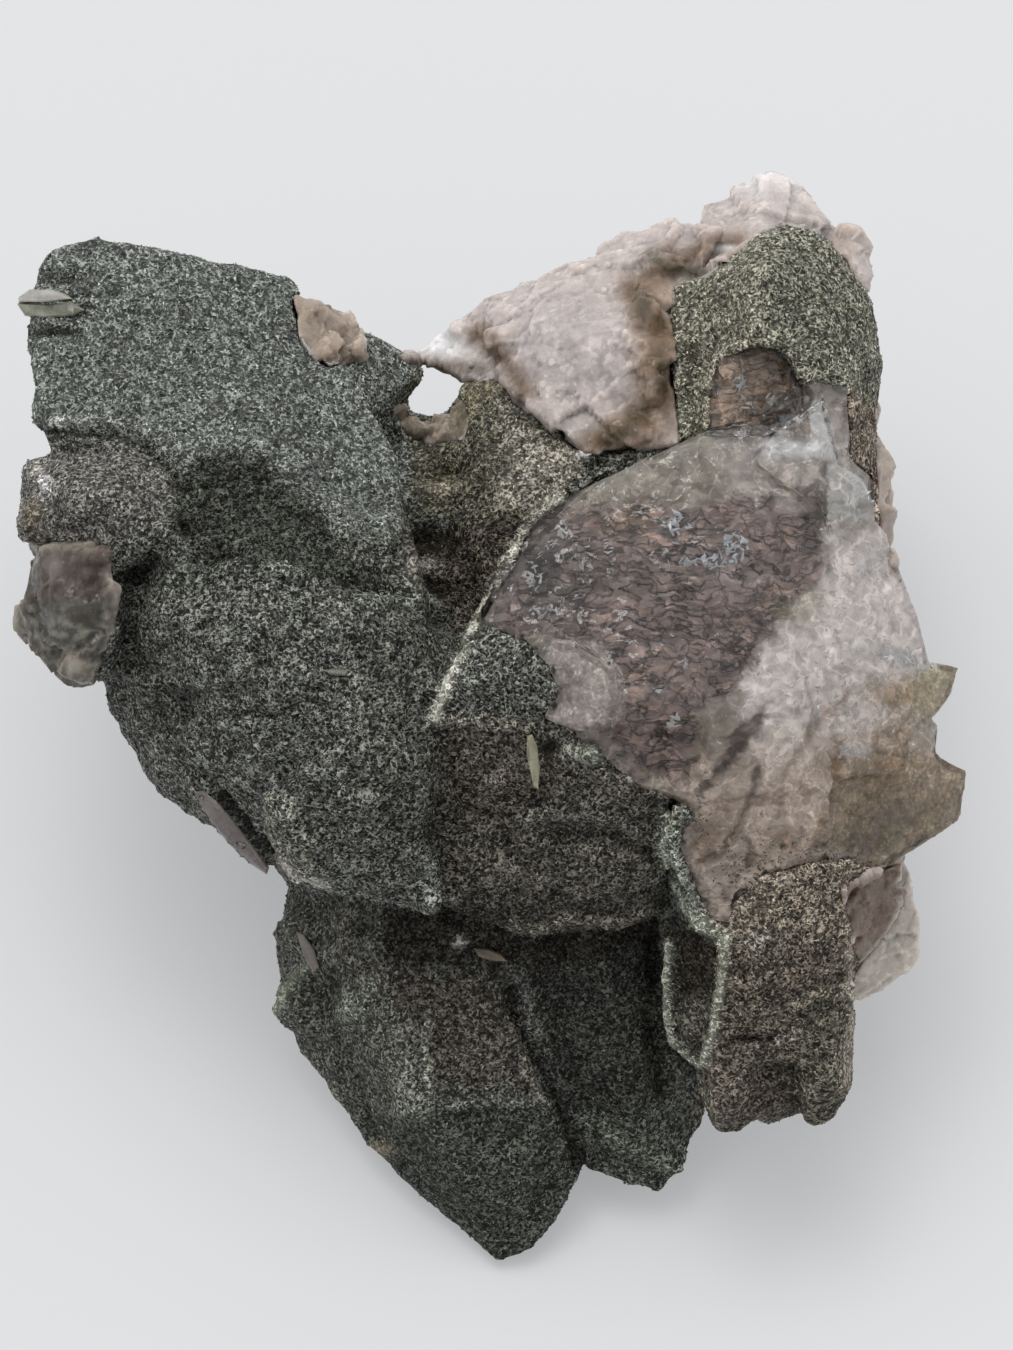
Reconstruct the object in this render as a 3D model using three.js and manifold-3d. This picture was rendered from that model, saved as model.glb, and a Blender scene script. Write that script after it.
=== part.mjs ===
// A hand-sized cluster of chlorite quartz, as it broke from its vein: stout quartz crystals under a
// sandy green chlorite crust, one large crystal snapped open to its clear smoky inside, and a ledge of
// milky quartz behind. It grew as one piece, so it is one solid.
//
// Every form is set out in the frame of the cluster's show face, in millimetres: +X to the right,
// +Y up the face and +Z out of it, with the floor passing under the back. The whole is then reclined
// onto its broken root, which is flat, and centred over it.
import * as THREE from 'three';
import { ConvexGeometry } from 'three/addons/geometries/ConvexGeometry.js';
import { mergeVertices } from 'three/addons/utils/BufferGeometryUtils.js';
import Module from 'manifold-3d';

// Driving dimensions
const FACE_HEIGHT = 70; // mm, lowest crystal point to the milky peak, measured up the show face
const RECLINE = THREE.MathUtils.degToRad(25); // how far the show face leans back from level
const DRAWN_HEIGHT = 70; // the corners below are written for a face of this height
const FLANK_CRYSTALS = 22; // stout crystals round the root, just above the floor
const FLANK_SEED = 11;
const CHLORITE_GREEN = 0x56625a;

const wasm = await Module();
wasm.setup();

// A closed geometry as a solid.
function solidOf(geometry) {
  const bare = geometry.clone();
  bare.deleteAttribute('normal');
  bare.deleteAttribute('uv');
  const merged = mergeVertices(bare, 1e-4);
  return new wasm.Manifold(
    new wasm.Mesh({
      numProp: 3,
      vertProperties: new Float32Array(merged.attributes.position.array),
      triVerts: new Uint32Array(merged.index.array),
    }),
  );
}

// A flat-faced block with the given corners.
function block(...corners) {
  return solidOf(new ConvexGeometry(corners.map((c) => new THREE.Vector3(...c))));
}

// A point given over the floor, with z as its height, in the frame of the show face.
function overFloor([x, y, z]) {
  return new THREE.Vector3(x, y, z).applyAxisAngle(new THREE.Vector3(1, 0, 0), -RECLINE).toArray();
}

// A quartz crystal: a six-sided prism, its broad face turned towards `facing`, that ends in a point
// or, where `chisel` is over 0, in a short edge. `shoulder` is where the point starts along it.
function crystal({ root, tip, wide, thick, facing = [0, 0, 1], shoulder = 0.72, chisel = 0 }) {
  const foot = new THREE.Vector3(...root);
  const peak = new THREE.Vector3(...tip);
  const along = peak.clone().sub(foot);
  const axis = along.clone().normalize();
  const out = new THREE.Vector3(...facing).projectOnPlane(axis).normalize();
  const side = new THREE.Vector3().crossVectors(axis, out);
  const corners = [];
  for (let k = 0; k < 6; k++) {
    const turn = (k * Math.PI) / 3;
    const across = side
      .clone()
      .multiplyScalar((Math.cos(turn) * wide) / 2)
      .addScaledVector(out, (Math.sin(turn) * thick) / Math.sqrt(3));
    const step = k % 2 ? 0.05 : -0.05; // the faces of the point alternate large and small
    corners.push(foot.clone().add(across));
    corners.push(foot.clone().addScaledVector(along, shoulder + step).add(across));
  }
  corners.push(peak.clone().addScaledVector(side, chisel / 2));
  corners.push(peak.clone().addScaledVector(side, -chisel / 2));
  return solidOf(new ConvexGeometry(corners));
}

// A blunt knob of quartz with the given centre and radii.
function knob(centre, radii, turn = 0) {
  const lump = new THREE.IcosahedronGeometry(1, 0);
  lump.rotateZ(turn);
  lump.rotateX(turn * 0.7);
  lump.scale(...radii);
  lump.translate(...centre);
  return solidOf(lump);
}

// A number from 0 to 1 at each call, the same series for the same seed.
function series(seed) {
  let state = seed;
  return () => {
    state = (Math.imul(state, 1664525) + 1013904223) >>> 0;
    return state / 2 ** 32;
  };
}

// The broad tabular crystal at the upper left, with the slivers on its corner.
function upperLeftCrystal() {
  return [
    block(
      [-29.2, 28.7, 20], [-28.2, 30.3, 19.5], [-25.3, 31, 19.5], [-19.9, 29.8, 20.5], [-12.9, 28.4, 20],
      [-11.6, 26.6, 21], [-9.2, 21.8, 23.5], [-6.2, 17.2, 25.5], [-5.2, 12, 27.5], [-12.5, 14.5, 29],
      [-20.5, 16.5, 27.8], [-28.6, 18.6, 25.2], [-29.5, 23, 22.5],
      [-27, 28.5, 12.5], [-28, 20, 14.5], [-19, 26, 8.5], [-13.5, 26.5, 12], [-8, 19, 13], [-22, 8, 15],
    [-20, 17, 5], [-9, 6, 14],
    ),
    crystal({ root: [-23.6, 26.2, 21.6], tip: [-30.3, 26.8, 20.6], wide: 2, thick: 1.9, chisel: 0.6 }),
    crystal({ root: [-24.2, 24.6, 22.4], tip: [-30, 25.2, 21], wide: 1.5, thick: 1.5 }),
    knob([-29, 24.2, 20.8], [0.9, 1.6, 1.5], 0.4),
    knob([-28.7, 19.8, 22.5], [0.8, 1.7, 1.7], 0.9),
  ];
}

// The lobe, the stub and the bulging face under it.
function lowerLeftCrystals() {
  return [
    block(
      [-29.9, 16.5, 23], [-30.1, 13.4, 24], [-29.4, 10.6, 24.5], [-23.5, 17.4, 26.5], [-18, 16, 29],
      [-25, 14, 30.3], [-19, 12.5, 32.6], [-24, 9, 30], [-29, 12, 27.5], [-28.8, 15, 26.5],
      [-17, 15.8, 29.2], [-28, 15, 15], [-26, 9, 16], [-18, 12, 8],
    ),
    block(
      [-25.3, 6.5, 23], [-24.6, 0.6, 23], [-21.4, -4.7, 24], [-14.4, -9.1, 26.5], [-9, -11, 27.5],
      [-4, -12, 28], [-3.4, -5, 33], [-3.5, 2, 33.6], [-4, 7, 31.5], [-5.2, 12.5, 28], [-12, 15.2, 29.5],
      [-19.5, 16.4, 27.6], [-8.5, 10.5, 33.6], [-14, 11.4, 34.2], [-20.2, 10, 31.8], [-13.5, 5, 36], [-8, -1, 36],
    [-15, -3, 33.5],
      [-20, -1.5, 29.5], [-21.5, 5, 31],
      [-22.5, 4, 14], [-19, -2.5, 15], [-9, -8, 12], [-4.5, 6, 12], [-16, 10, 6],
    ),
    block(
      [-22.5, 6, 29.8], [-18.5, 7.5, 33.3], [-15, 6.5, 35.3], [-15.5, 2.5, 35.4], [-19.5, 1.5, 32], [-22, 3, 29.8],
      [-19, 4, 26], [-16, 5, 26],
    ),
    block(
      [-13.3, -4.2, 34.9], [-9, -1, 36.5], [-4.2, -1.5, 35.2], [-3.6, -11.9, 30.6], [-10.5, -10.1, 31.4],
      [-13.9, -5.1, 34.2], [-14.6, -5, 32], [-11.4, -10.5, 29.3], [-4, -12, 24], [-12, -6, 24], [-4, -3, 24],
    ),
    crystal({ root: [-18.9, -3.4, 28.3], tip: [-14.2, -9.6, 26.4], wide: 2.4, thick: 1.6, facing: [-0.5, -0.3, 1] }),
    block(
      [-29.5, 10.3, 26], [-28.5, 11, 28.6], [-24.6, 10.6, 31], [-23.8, 7.7, 31.6], [-24, 5, 31], [-25, 2.7, 29.5],
      [-26.9, 2.3, 27.8], [-29.3, 4.6, 26.8], [-29.7, 7.4, 27], [-27, 7.2, 31.2],
      [-27.8, 9.5, 19], [-27, 4, 20], [-21, 3, 20], [-21, 10, 20],
    ),
    knob([-29.4, 6.3, 25], [1.3, 1.8, 1.7], 0.3),
    knob([-29.3, 12.6, 26], [1.2, 1.6, 1.5], 0.8),
    knob([-26, 3.2, 28.9], [1.7, 1.1, 1.4], 1.1),
  ];
}

// The thin neck between the left crystals and the milky ledge, over a small open window.
function neck() {
  return [
    block(
      [-12.8, 27.2, 19.5], [-8.7, 25, 18.5], [-6.1, 23.8, 18], [-4.5, 23.2, 17], [-4.4, 22.4, 17.5],
      [-5.2, 20, 16.5], [-6, 18, 17], [-9, 19, 23], [-11.5, 24, 22.5],
      [-12.5, 26, 11], [-8, 23, 10], [-5.4, 22, 13], [-7, 17.5, 11],
    ),
    knob([-11.4, 25.9, 20.6], [1.7, 1.4, 1.5], 0.2),
    knob([-9.9, 25.1, 20.2], [1.5, 1.3, 1.4], 0.9),
    knob([-10.4, 23.4, 22], [1.5, 1.4, 1.2], 0.5),
    knob([-8.7, 23.7, 20.2], [1.1, 1.1, 1.2], 1.3),
    knob([-5.9, 19.6, 16.6], [0.8, 1, 1.2], 0.4),
  ];
}

// The crystals set back between the left crystals and the broken one.
function middleCrystals() {
  return [
    block(
      [-1.8, 22, 18.5], [0.4, 21.7, 21], [6, 17, 25], [11, 17, 25.5], [7, 12, 26.4], [1, 3, 26.6], [-0.8, 8, 25.8],
      [-0.6, 14, 24.6], [-1.9, 19, 20.6], [-4.6, 9, 22.6], [-4, 4, 24], [-4, 4, 12], [8, 6, 12], [8, 16, 14],
      [-1, 20, 13],
    ),
    block(
      [-6.5, 18.4, 17], [-4.4, 19.2, 17.4], [-2.4, 19.3, 18], [-3, 15, 21.6], [-6, 13.5, 23], [-4, 6, 24.4],
      [-6, 17, 11], [-2, 17, 12], [-3, 5, 14],
    ),
    knob([-5, 18.6, 18.6], [1.1, 0.9, 1], 0.6),
    knob([-3.3, 18.5, 18.9], [1, 0.9, 1], 1.2),
  ];
}

// The ledge of broken milky quartz behind, from the neck to the peak.
function milkyLedge() {
  return [
    block(
      [-4.9, 23.5, 15.5], [-2.7, 25, 15.5], [-1.8, 25.8, 16], [-0.5, 27, 16.5], [3.3, 27.4, 17], [3, 21, 22.5],
      [0.5, 21.6, 20.5], [-1.5, 22.1, 18], [-4.3, 22.7, 16.5], [-1, 24.5, 11], [3, 25, 10], [3, 21, 12],
    ),
    block(
      [-0.6, 26.9, 17], [1.7, 27.5, 17.5], [4.8, 28.8, 18], [7, 30, 18], [12, 30.5, 18.5], [12.5, 24, 24.5],
      [12, 17.5, 25.8], [6.2, 16.7, 26], [3.2, 19.4, 24.6], [0.6, 21.6, 21.8], [3.5, 24.8, 23.4], [8, 24, 25.2],
      [2, 25, 11], [7, 27.5, 9], [12, 27, 5], [13, 16, 2], [3, 18, 6],
    ),
    block(
      [7, 30, 15.5], [8.3, 31.2, 15], [10.2, 31.7, 15.5], [12.7, 32.3, 16.5], [14.9, 31.4, 19], [12.5, 28, 20.5],
      [8.5, 28.2, 20], [8.5, 28.6, 10], [14, 26, 5],
    ),
    block(
      [13.3, 33.3, 14], [14.9, 32.9, 14.5], [16.8, 34, 14], [17.8, 35, 13.5], [19.1, 34.9, 13.3], [19.9, 34.4, 13.5],
      [21.3, 32.4, 15], [21.6, 28, 19], [13.4, 29, 18.5], [17.2, 32, 17.2],
      [14.5, 31.4, 9], [19.6, 31.6, 8.5], [21.4, 27, 4], [15, 25, 1],
    ),
    block(
      [21, 31.6, 14], [23.3, 31.2, 14], [23.9, 30.4, 14], [24.4, 28.4, 14.5], [24.3, 26, 16], [21, 27, 19],
      [21, 30, 9], [23.8, 28, 9], [21, 22, 2],
    ),
    block(
      [24.4, 19.2, 18.5], [25.1, 17.7, 19], [25.8, 16, 19.5], [26.1, 13.8, 20], [25.6, 10.9, 20], [24, 9.5, 21],
      [22, 14, 23], [22, 19, 20], [24, 17, 12], [22, 11, 8],
    ),
    knob([2.6, 27.6, 16.4], [1.4, 0.9, 1.3], 0.5),
    knob([-1.9, 25.1, 16.6], [1.1, 0.9, 1], 1),
    knob([0.9, 24.2, 20.7], [1.7, 1.4, 1.1], 0.3),
    knob([9.8, 25.6, 23.6], [1.5, 2, 1.5], 0.7),
    knob([10.6, 21.4, 25], [1.5, 1.9, 1.4], 1.1),
    knob([8.6, 18.2, 25.7], [2.2, 1.4, 1.3], 0.2),
    knob([11.3, 29, 19.8], [2.1, 1.2, 1.4], 0.9),
    knob([6, 28.6, 18.2], [1.5, 1.1, 1.2], 0.1),
  ];
}

// The chlorite-coated crystal at the upper right. The crust has come away from one patch of its face.
function rightCrystal() {
  const coated = block(
    [18.4, 31.7, 21.5], [20.7, 31.2, 21.5], [22.2, 29.8, 21.5], [23.3, 28.3, 21.5], [24.2, 27.2, 21],
    [24.8, 25.4, 20.5], [24.9, 21.5, 20.5], [24.4, 17, 21], [23.8, 11, 22], [15.8, 30, 21.5], [14.1, 28.4, 21.5],
    [11.6, 27.6, 21], [11.6, 22.5, 22.5], [12, 17.5, 24.5], [12, 8, 24],
    [17.6, 28.6, 26.2], [16.4, 20, 28.6], [15.5, 14, 28.6], [21.5, 25.5, 26.2], [22.8, 20, 26], [22, 14, 27],
    [14, 27, 7], [22.5, 27.5, 9], [24, 14, 5], [20, 18, -2], [12, 12, 4],
  );
  const bare = block(
    [13.8, 21.7, 26.5], [14.4, 23, 26.5], [16.9, 24, 26.2], [18.1, 23.8, 26], [19.2, 22.6, 25.8], [20, 20.6, 25.6],
    [18.9, 17.5, 25.8], [13.8, 17.5, 26.6],
    [13.8, 21.7, 32], [14.4, 23, 32], [16.9, 24, 32], [18.1, 23.8, 32], [19.2, 22.6, 32], [20, 20.6, 32],
    [18.9, 17.5, 32], [13.8, 17.5, 32],
  );
  return [coated.subtract(bare)];
}

// The largest crystal, snapped across: its broken face, the coated flank below it and its thin edges.
function brokenCrystal() {
  return [
    block(
      [-3.6, 0.3, 33.4], [-3.2, 1.6, 34], [-0.6, 6, 34.4], [2, 10.8, 33.4], [5.4, 14.2, 32.2], [6.5, 15, 32],
      [10.4, 16.8, 31.4], [13.6, 18.4, 30.4], [17.3, 18.8, 30], [21.1, 16.6, 29.8], [23.7, 15.4, 28.8],
      [24, 12.6, 28.8], [24.9, 11.3, 28.5], [25.6, 9.1, 28.4], [27.2, 6.6, 28.2], [27.9, 3.8, 28],
      [2, 3.5, 36.8], [8, 9, 36], [16, 10.5, 34], [10.5, 1, 37.6], [17, -1, 35.8], [22.5, 4, 32.8],
      [9.1, -3.9, 36.2], [13, -5.2, 35], [19, -4.5, 33.6], [26.5, -3, 28.6],
      [0, 3, 14], [23, 11, 12], [24, 1, 13], [4, -6, 14], [10, 14, 12],
    ),
    block(
      [-3.6, 0.3, 33.4], [3, 1.8, 36.8], [9.4, -3.6, 36.3], [11.2, -6, 33.5], [10.7, -12.4, 28.2],
      [8.6, -13.2, 28], [3, -13.8, 28.3], [1.5, -13.7, 28.4], [-3, -12, 28.8], [-3.6, -4, 32],
      [-2, 0, 15], [10, 0, 15], [9, -10, 16], [0, -11, 17],
    ),
    block(
      [3.6, 4.8, 36.6], [5.6, 5, 37.8], [7.8, 4, 38.4], [8.2, 1.4, 38.2], [7.6, -1.2, 37.6], [5, -0.6, 36.8],
      [4.4, 2, 36.8], [4.5, 3, 34], [7, 1, 34],
    ),
    block(
      [12.9, -5.4, 34.6], [11.4, -6.9, 33.8], [11.3, -8.4, 33], [12.1, -10.1, 32], [13.1, -11.7, 31], [18.5, -11.6, 31],
      [21.6, -8, 31.4], [22, -4, 32], [18, 0, 35], [13, -1, 36], [12.5, -10, 20], [20, -9, 20], [18, 0, 20],
    ),
    block(
      [27.9, 3.8, 27], [29.9, 3.4, 26.2], [29.4, 1.6, 26.4], [28.4, 0.3, 26.8], [26.5, -1.5, 28.6], [20, -2, 33],
      [21, 4, 32.6], [28.4, 2.6, 24], [21, 0, 14],
    ),
    block(
      [27.2, 1, 26.6], [28.6, -0.4, 26], [28.3, -3, 25.8], [26, -4, 28.4], [21, -3, 32], [22, 1, 32], [24, 0, 16],
    ),
    block(
      [28.4, -3, 25], [30.5, -3.2, 24], [30, -6.4, 24], [28.5, -7.4, 25.4], [26.1, -8.8, 27], [22.6, -11, 29],
      [18, -4, 33.6], [24, 0, 30], [28, -5, 21], [24, -8, 18], [18, -4, 14],
    ),
    block(
      [17.3, 17.6, 30.6], [18.6, 18.9, 30.6], [19.9, 19.8, 30.4], [21.1, 20.6, 30.2], [21.6, 19.4, 30],
      [22.2, 16.6, 29.6], [20, 14, 32.4], [16.8, 16.4, 32], [18, 15, 27], [21.5, 15, 27],
    ),
    block(
      [21.2, 16.4, 30.6], [22.6, 16, 30.2], [23.8, 15, 29.2], [24, 13, 28.8], [23.6, 11.6, 29.2], [21.6, 11.4, 31.4],
      [20.6, 14, 32], [21.5, 14, 26],
    ),
  ];
}

// The crystals that point down the show face.
function lowerCrystals() {
  return [
    block(
      [-13, -10.3, 15.5], [-14.1, -14.5, 14.5], [-13.6, -18.8, 13.6], [-12.5, -21.2, 14.6], [-11, -23.5, 15],
      [-7.6, -27.6, 15.6], [-3.9, -31.5, 16.4], [0.6, -35, 17], [3.5, -33.4, 17.4], [4.7, -31.4, 17.8],
      [6, -28.9, 18.4], [4, -22.5, 22.4], [1.8, -15, 24.4], [-7.4, -13.5, 24.4], [-5.2, -24, 23.2], [1, -30, 20.8],
      [-10.6, -15.5, 21], [-6, -5, 25], [4, -8, 25],
      [-9, -12, 7], [-6, -22, 10], [0, -29, 13], [4, -20, 9], [4, -10, 8],
    ),
    block(
      [6.3, -28.9, 17.4], [8.4, -29.8, 17.2], [10.6, -30.6, 16.6], [11.1, -30.6, 16.4], [12.4, -28.2, 16.8],
      [13.8, -25.4, 17.2], [13.6, -21, 19.4], [9, -25, 21.6], [5, -20, 22.6], [8, -16, 24.4], [3.5, -10, 24.5],
      [13, -8, 24.5], [10, -26, 11], [10, -10, 8], [5, -12, 8], [5.5, -24, 12],
    ),
    block(
      [10.7, -12.8, 28], [11.2, -20.3, 25.4], [12.7, -21.8, 25.6], [14.3, -10, 32], [14.7, -21.4, 28.8],
      [18.5, -10, 32.4], [22.3, -9, 30.6], [23, -15, 28.6], [22.8, -20.2, 26.2], [21.4, -22, 27.4],
      [11.5, -8, 29], [12, -8, 13], [22, -8, 13], [21.5, -20, 14], [13, -20, 14],
    ),
    crystal({ root: [15.6, -13, 26.8], tip: [15.2, -26.3, 24.6], wide: 4.6, thick: 6, chisel: 1.6, shoulder: 0.8 }),
    crystal({ root: [18.2, -13, 25], tip: [17.7, -26.4, 22.6], wide: 4.2, thick: 6, shoulder: 0.84 }),
    crystal({ root: [21, -12, 26.6], tip: [20.9, -25.9, 24], wide: 4.2, thick: 5.6, chisel: 1.6, shoulder: 0.8 }),
    crystal({ root: [-6, -16.6, 17], tip: [-14.3, -18.9, 14.6], wide: 6, thick: 5.4 }),
    crystal({ root: [-6, -13, 19], tip: [-14.2, -13.9, 15.4], wide: 5, thick: 5 }),
    block(
      [22, -9, 27], [26.4, -7.8, 25.2], [26.4, -11.8, 24.2], [25.3, -13.9, 24], [23.5, -15.8, 24.4],
      [21.5, -13, 28], [22, -8, 17], [25, -11, 17], [21, -14, 17],
    ),
    block(
      [22.8, -17.3, 19], [23.5, -18.1, 19], [25, -17.6, 19], [26.4, -16.6, 19], [27.5, -15.2, 19.4],
      [27.5, -12.4, 20], [26.4, -8, 21], [22, -10, 23], [21.5, -15, 23], [22, -16, 12], [26, -12, 12],
    ),
  ];
}

// What the crystals grew from, broken off flat behind.
function root() {
  const blocks = [
    [
      [-19, 8, 22], [-20, -10, 20], [-12, -19, 17], [8, -22, 16], [18, -17, 18], [21, 2, 20], [17, 14, 18],
      [6, 17, 14], [-12, 16, 16], [-15, 12, -1], [-17, -6, -1], [-9, -17, -1], [7, -18, -1], [16, -11, -1],
      [17, 8, -1], [9, 16, -1], [-6, 15, -1],
    ],
    [
      [4, 12, 12], [20, 8, 15], [22, 19, 12], [13, 24, 11], [7, 20, 10], [8, 10, -1], [18, 8, -1], [17, 17, -1],
      [10, 18, -1],
    ],
    [
      [-20, 8, 18], [-11, 10, 16], [-12, 20, 13], [-19, 21, 14], [-22, 15, 15], [-17, 6, -1], [-9, 10, -1],
      [-12, 16, -1],
    ],
  ];
  return blocks.map((corners) => block(...corners.map(overFloor)));
}

// Stout crystals that stand out all round the root, low down, and leave the window's back clear.
function flankCrystals() {
  const random = series(FLANK_SEED);
  const behindWindow = THREE.MathUtils.degToRad(100);
  const grown = [];
  for (let k = 0; k < FLANK_CRYSTALS; k++) {
    const turn = (k / FLANK_CRYSTALS) * 2 * Math.PI;
    const out = new THREE.Vector3(Math.cos(turn), Math.sin(turn), 0);
    const reach = 15.5 + 2.5 * Math.abs(Math.sin(turn)) + 4 * random();
    const height = 3 + 11 * random();
    const rise = 3 * random() - 1;
    const size = 6 + 4 * random();
    if (Math.abs(turn - behindWindow) < 0.5) continue;
    const foot = out.clone().multiplyScalar(6).setZ(height);
    const peak = out.clone().multiplyScalar(reach).setZ(height + rise);
    grown.push(
      crystal({
        root: overFloor(foot.toArray()),
        tip: overFloor(peak.toArray()),
        wide: size,
        thick: size * 0.9,
        shoulder: 0.8,
      }),
    );
  }
  return grown;
}

// The half-space under the floor, as a large slab.
function belowFloor() {
  const size = 4 * DRAWN_HEIGHT;
  const slab = new THREE.BoxGeometry(size, size, size);
  slab.translate(0, 0, -size / 2);
  slab.rotateX(-RECLINE);
  return solidOf(slab);
}

// The small window that goes right through beside the neck.
function openWindow() {
  const rim = [[-3.7, 22.5], [-1.7, 21.9], [-2.6, 19.5], [-4.7, 19.3], [-5.6, 20.2], [-4.9, 21.5]];
  const ends = [-DRAWN_HEIGHT, DRAWN_HEIGHT];
  return block(...ends.flatMap((z) => rim.map(([x, y]) => [x, y, z])));
}

function cluster() {
  const grown = [
    ...upperLeftCrystal(),
    ...lowerLeftCrystals(),
    ...neck(),
    ...middleCrystals(),
    ...milkyLedge(),
    ...rightCrystal(),
    ...brokenCrystal(),
    ...lowerCrystals(),
    ...root(),
    ...flankCrystals(),
  ];
  return grown.reduce((joined, solid) => joined.add(solid)).subtract(openWindow()).subtract(belowFloor());
}

function geometryOf(solid) {
  const { numProp, numVert, vertProperties, triVerts } = solid.getMesh();
  const position = new Float32Array(3 * numVert);
  for (let i = 0; i < numVert; i++) {
    position.set(vertProperties.subarray(i * numProp, i * numProp + 3), 3 * i);
  }
  const geometry = new THREE.BufferGeometry();
  geometry.setAttribute('position', new THREE.BufferAttribute(position, 3));
  geometry.setIndex(new THREE.BufferAttribute(triVerts, 1));
  return geometry;
}

const geometry = geometryOf(cluster());
geometry.rotateX(RECLINE);
geometry.scale(...Array(3).fill(FACE_HEIGHT / DRAWN_HEIGHT));
geometry.computeBoundingBox();
const middle = geometry.boundingBox.getCenter(new THREE.Vector3());
geometry.translate(-middle.x, -middle.y, -geometry.boundingBox.min.z);
geometry.computeVertexNormals();

const crust = new THREE.MeshStandardMaterial({ color: CHLORITE_GREEN, roughness: 0.85, metalness: 0 });
const mesh = new THREE.Mesh(geometry, crust);
mesh.name = 'quartz_cluster';

const group = new THREE.Group();
group.add(mesh);
export default group;
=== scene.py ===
"""The looks of a hand-sized cluster of chlorite quartz.

Forms and colours are set out in the frame of the show face, in millimetres: x to the right, y up
the face and z out of it. to_row() turns such points into the row frame in metres, and to_face()
turns a mesh's points back, so that relief and colour follow the place on the cluster.
"""
import math
from collections import namedtuple
from functools import partial, reduce

import bmesh
import bpy
import numpy as np
from mathutils import Matrix, Vector


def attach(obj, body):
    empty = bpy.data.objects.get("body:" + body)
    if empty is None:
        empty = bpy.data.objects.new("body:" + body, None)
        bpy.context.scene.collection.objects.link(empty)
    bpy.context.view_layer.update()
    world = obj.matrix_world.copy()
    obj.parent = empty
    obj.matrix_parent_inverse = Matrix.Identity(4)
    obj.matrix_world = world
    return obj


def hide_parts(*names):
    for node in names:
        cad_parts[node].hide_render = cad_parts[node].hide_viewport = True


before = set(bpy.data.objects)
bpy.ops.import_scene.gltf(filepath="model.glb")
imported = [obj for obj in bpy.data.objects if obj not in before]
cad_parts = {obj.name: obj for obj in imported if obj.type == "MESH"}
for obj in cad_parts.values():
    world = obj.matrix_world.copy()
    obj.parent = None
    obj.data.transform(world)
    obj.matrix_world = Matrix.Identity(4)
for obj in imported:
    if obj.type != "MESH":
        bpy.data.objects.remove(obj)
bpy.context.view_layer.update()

# The frame of the show face
MM = 0.001
RECLINE = math.radians(25)
ROW_SHIFT = np.array([-0.0141, 6.4449, 0.0])
TO_ROW = np.array([
    [1, 0, 0],
    [0, math.cos(RECLINE), -math.sin(RECLINE)],
    [0, math.sin(RECLINE), math.cos(RECLINE)],
])

# The camera's frame on the show face
FRAME_HEIGHT = 86.3
FRAME_MIDDLE = (0.99, 2.85, 22)
CAMERA_DISTANCE = 1200
SENSOR = 36

# Where the broken crystal's inside shows
BROKEN_FACE = [
    (-1.7, 4.6), (-0.1, 7.6), (1.3, 10.2), (2.7, 12.8), (4.4, 13.9), (6.5, 15), (10.4, 16.8),
    (13.6, 18.4), (17, 19.2), (19.8, 21.5), (22.6, 21), (22.9, 16.6), (24.4, 15.4), (24.4, 12.6),
    (25.4, 11.3), (26.2, 9), (27.7, 6.6), (28.6, 3.9), (31.9, 4.6), (31.9, -7.1), (27, -8.9),
    (24.6, -9.4), (22.4, -8.7), (19.8, -9), (17.2, -9.7), (15.6, -11.3), (14.9, -12.8),
    (14, -12.4), (12.7, -9.8), (11.9, -7.4), (12.9, -5.6), (9.3, -4), (7, -2.3), (5.4, -0.7),
    (3.4, 0.2), (4.5, 1.7), (3.6, 3.7), (2.2, 5.2), (-0.1, 6),
]
ARCH = [
    (14.1, 21.7), (14.8, 23), (16.9, 23.9), (18.2, 23.6), (19.1, 22.5), (19.9, 20.6), (20.2, 18),
    (13.9, 18),
]
DARK_HEART = [
    (0.3, 6.2), (1.6, 9.4), (3.6, 12.6), (6, 13.4), (10.2, 13.4), (14.6, 13.8), (17.5, 13.7),
    (21.1, 12.4), (21.2, 9.7), (19.6, 7.7), (17.9, 6), (16.6, 4.1), (15.4, 1.8), (13.4, 0.6),
    (12.6, -2), (12.9, -4.1), (9.5, -3.3), (7.6, -1.3), (8.2, 1.2), (7.9, 3.4), (6.6, 4.8), (3.6, 5.2),
]

# Parts of the broken face: outline, how soft and how ragged its edge is, seed
HEART_ZONES = {
    "upper": ([(14, 19), (22, 22), (24, 12), (21.4, 9.4), (15, 12)], 1, 0.8, 60),
    "right": ([
        (21.3, 10.2), (19.8, 7.9), (18.1, 6.2), (16.9, 4.4), (15.6, 2), (16.5, -1), (17.5, -4), (22, -3.5),
        (26, -1), (30, 5), (27, 13.5), (23.8, 13),
    ], 0.6, 0.8, 61),
    "corner": ([
        (21, -8.4), (20.8, -5.4), (21.6, -2.6), (24, -1.6), (26.4, -0.4), (28.6, -2.6), (31.9, -3),
        (31.9, -7.1), (27, -8.9), (24.6, -9.4), (22.4, -8.7),
    ], 1.2, 1.6, 65),
    "plate": ([(25, 1.4), (28.3, 4.2), (31, 4), (29.4, 0.4), (27.6, -0.2)], 0.5, 0.6, 66),
    "dark": (DARK_HEART, 0.45, 0.7, 64),
    "lump": ([
        (3.8, 4.8), (6.9, 4.9), (8.2, 3), (8.4, 0.6), (7.6, -1.2), (5, -0.8), (3.4, 0.2), (4.5, 1.7),
        (3.6, 3.7),
    ], 0.25, 0.25, 67),
    "lobe": ([
        (21.1, 16.3), (22.7, 15.8), (23.8, 14.5), (23.8, 12.5), (22.2, 12.4), (21.2, 13),
    ], 0.2, 0.15, 68),
    "shard": ([
        (19.6, 20.2), (20.7, 20.9), (22, 17), (21.6, 16.4), (17.4, 16.7), (17.6, 18.2),
    ], 0.2, 0.15, 69),
    "arch": (ARCH, 0.3, 0, 0),
}

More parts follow.
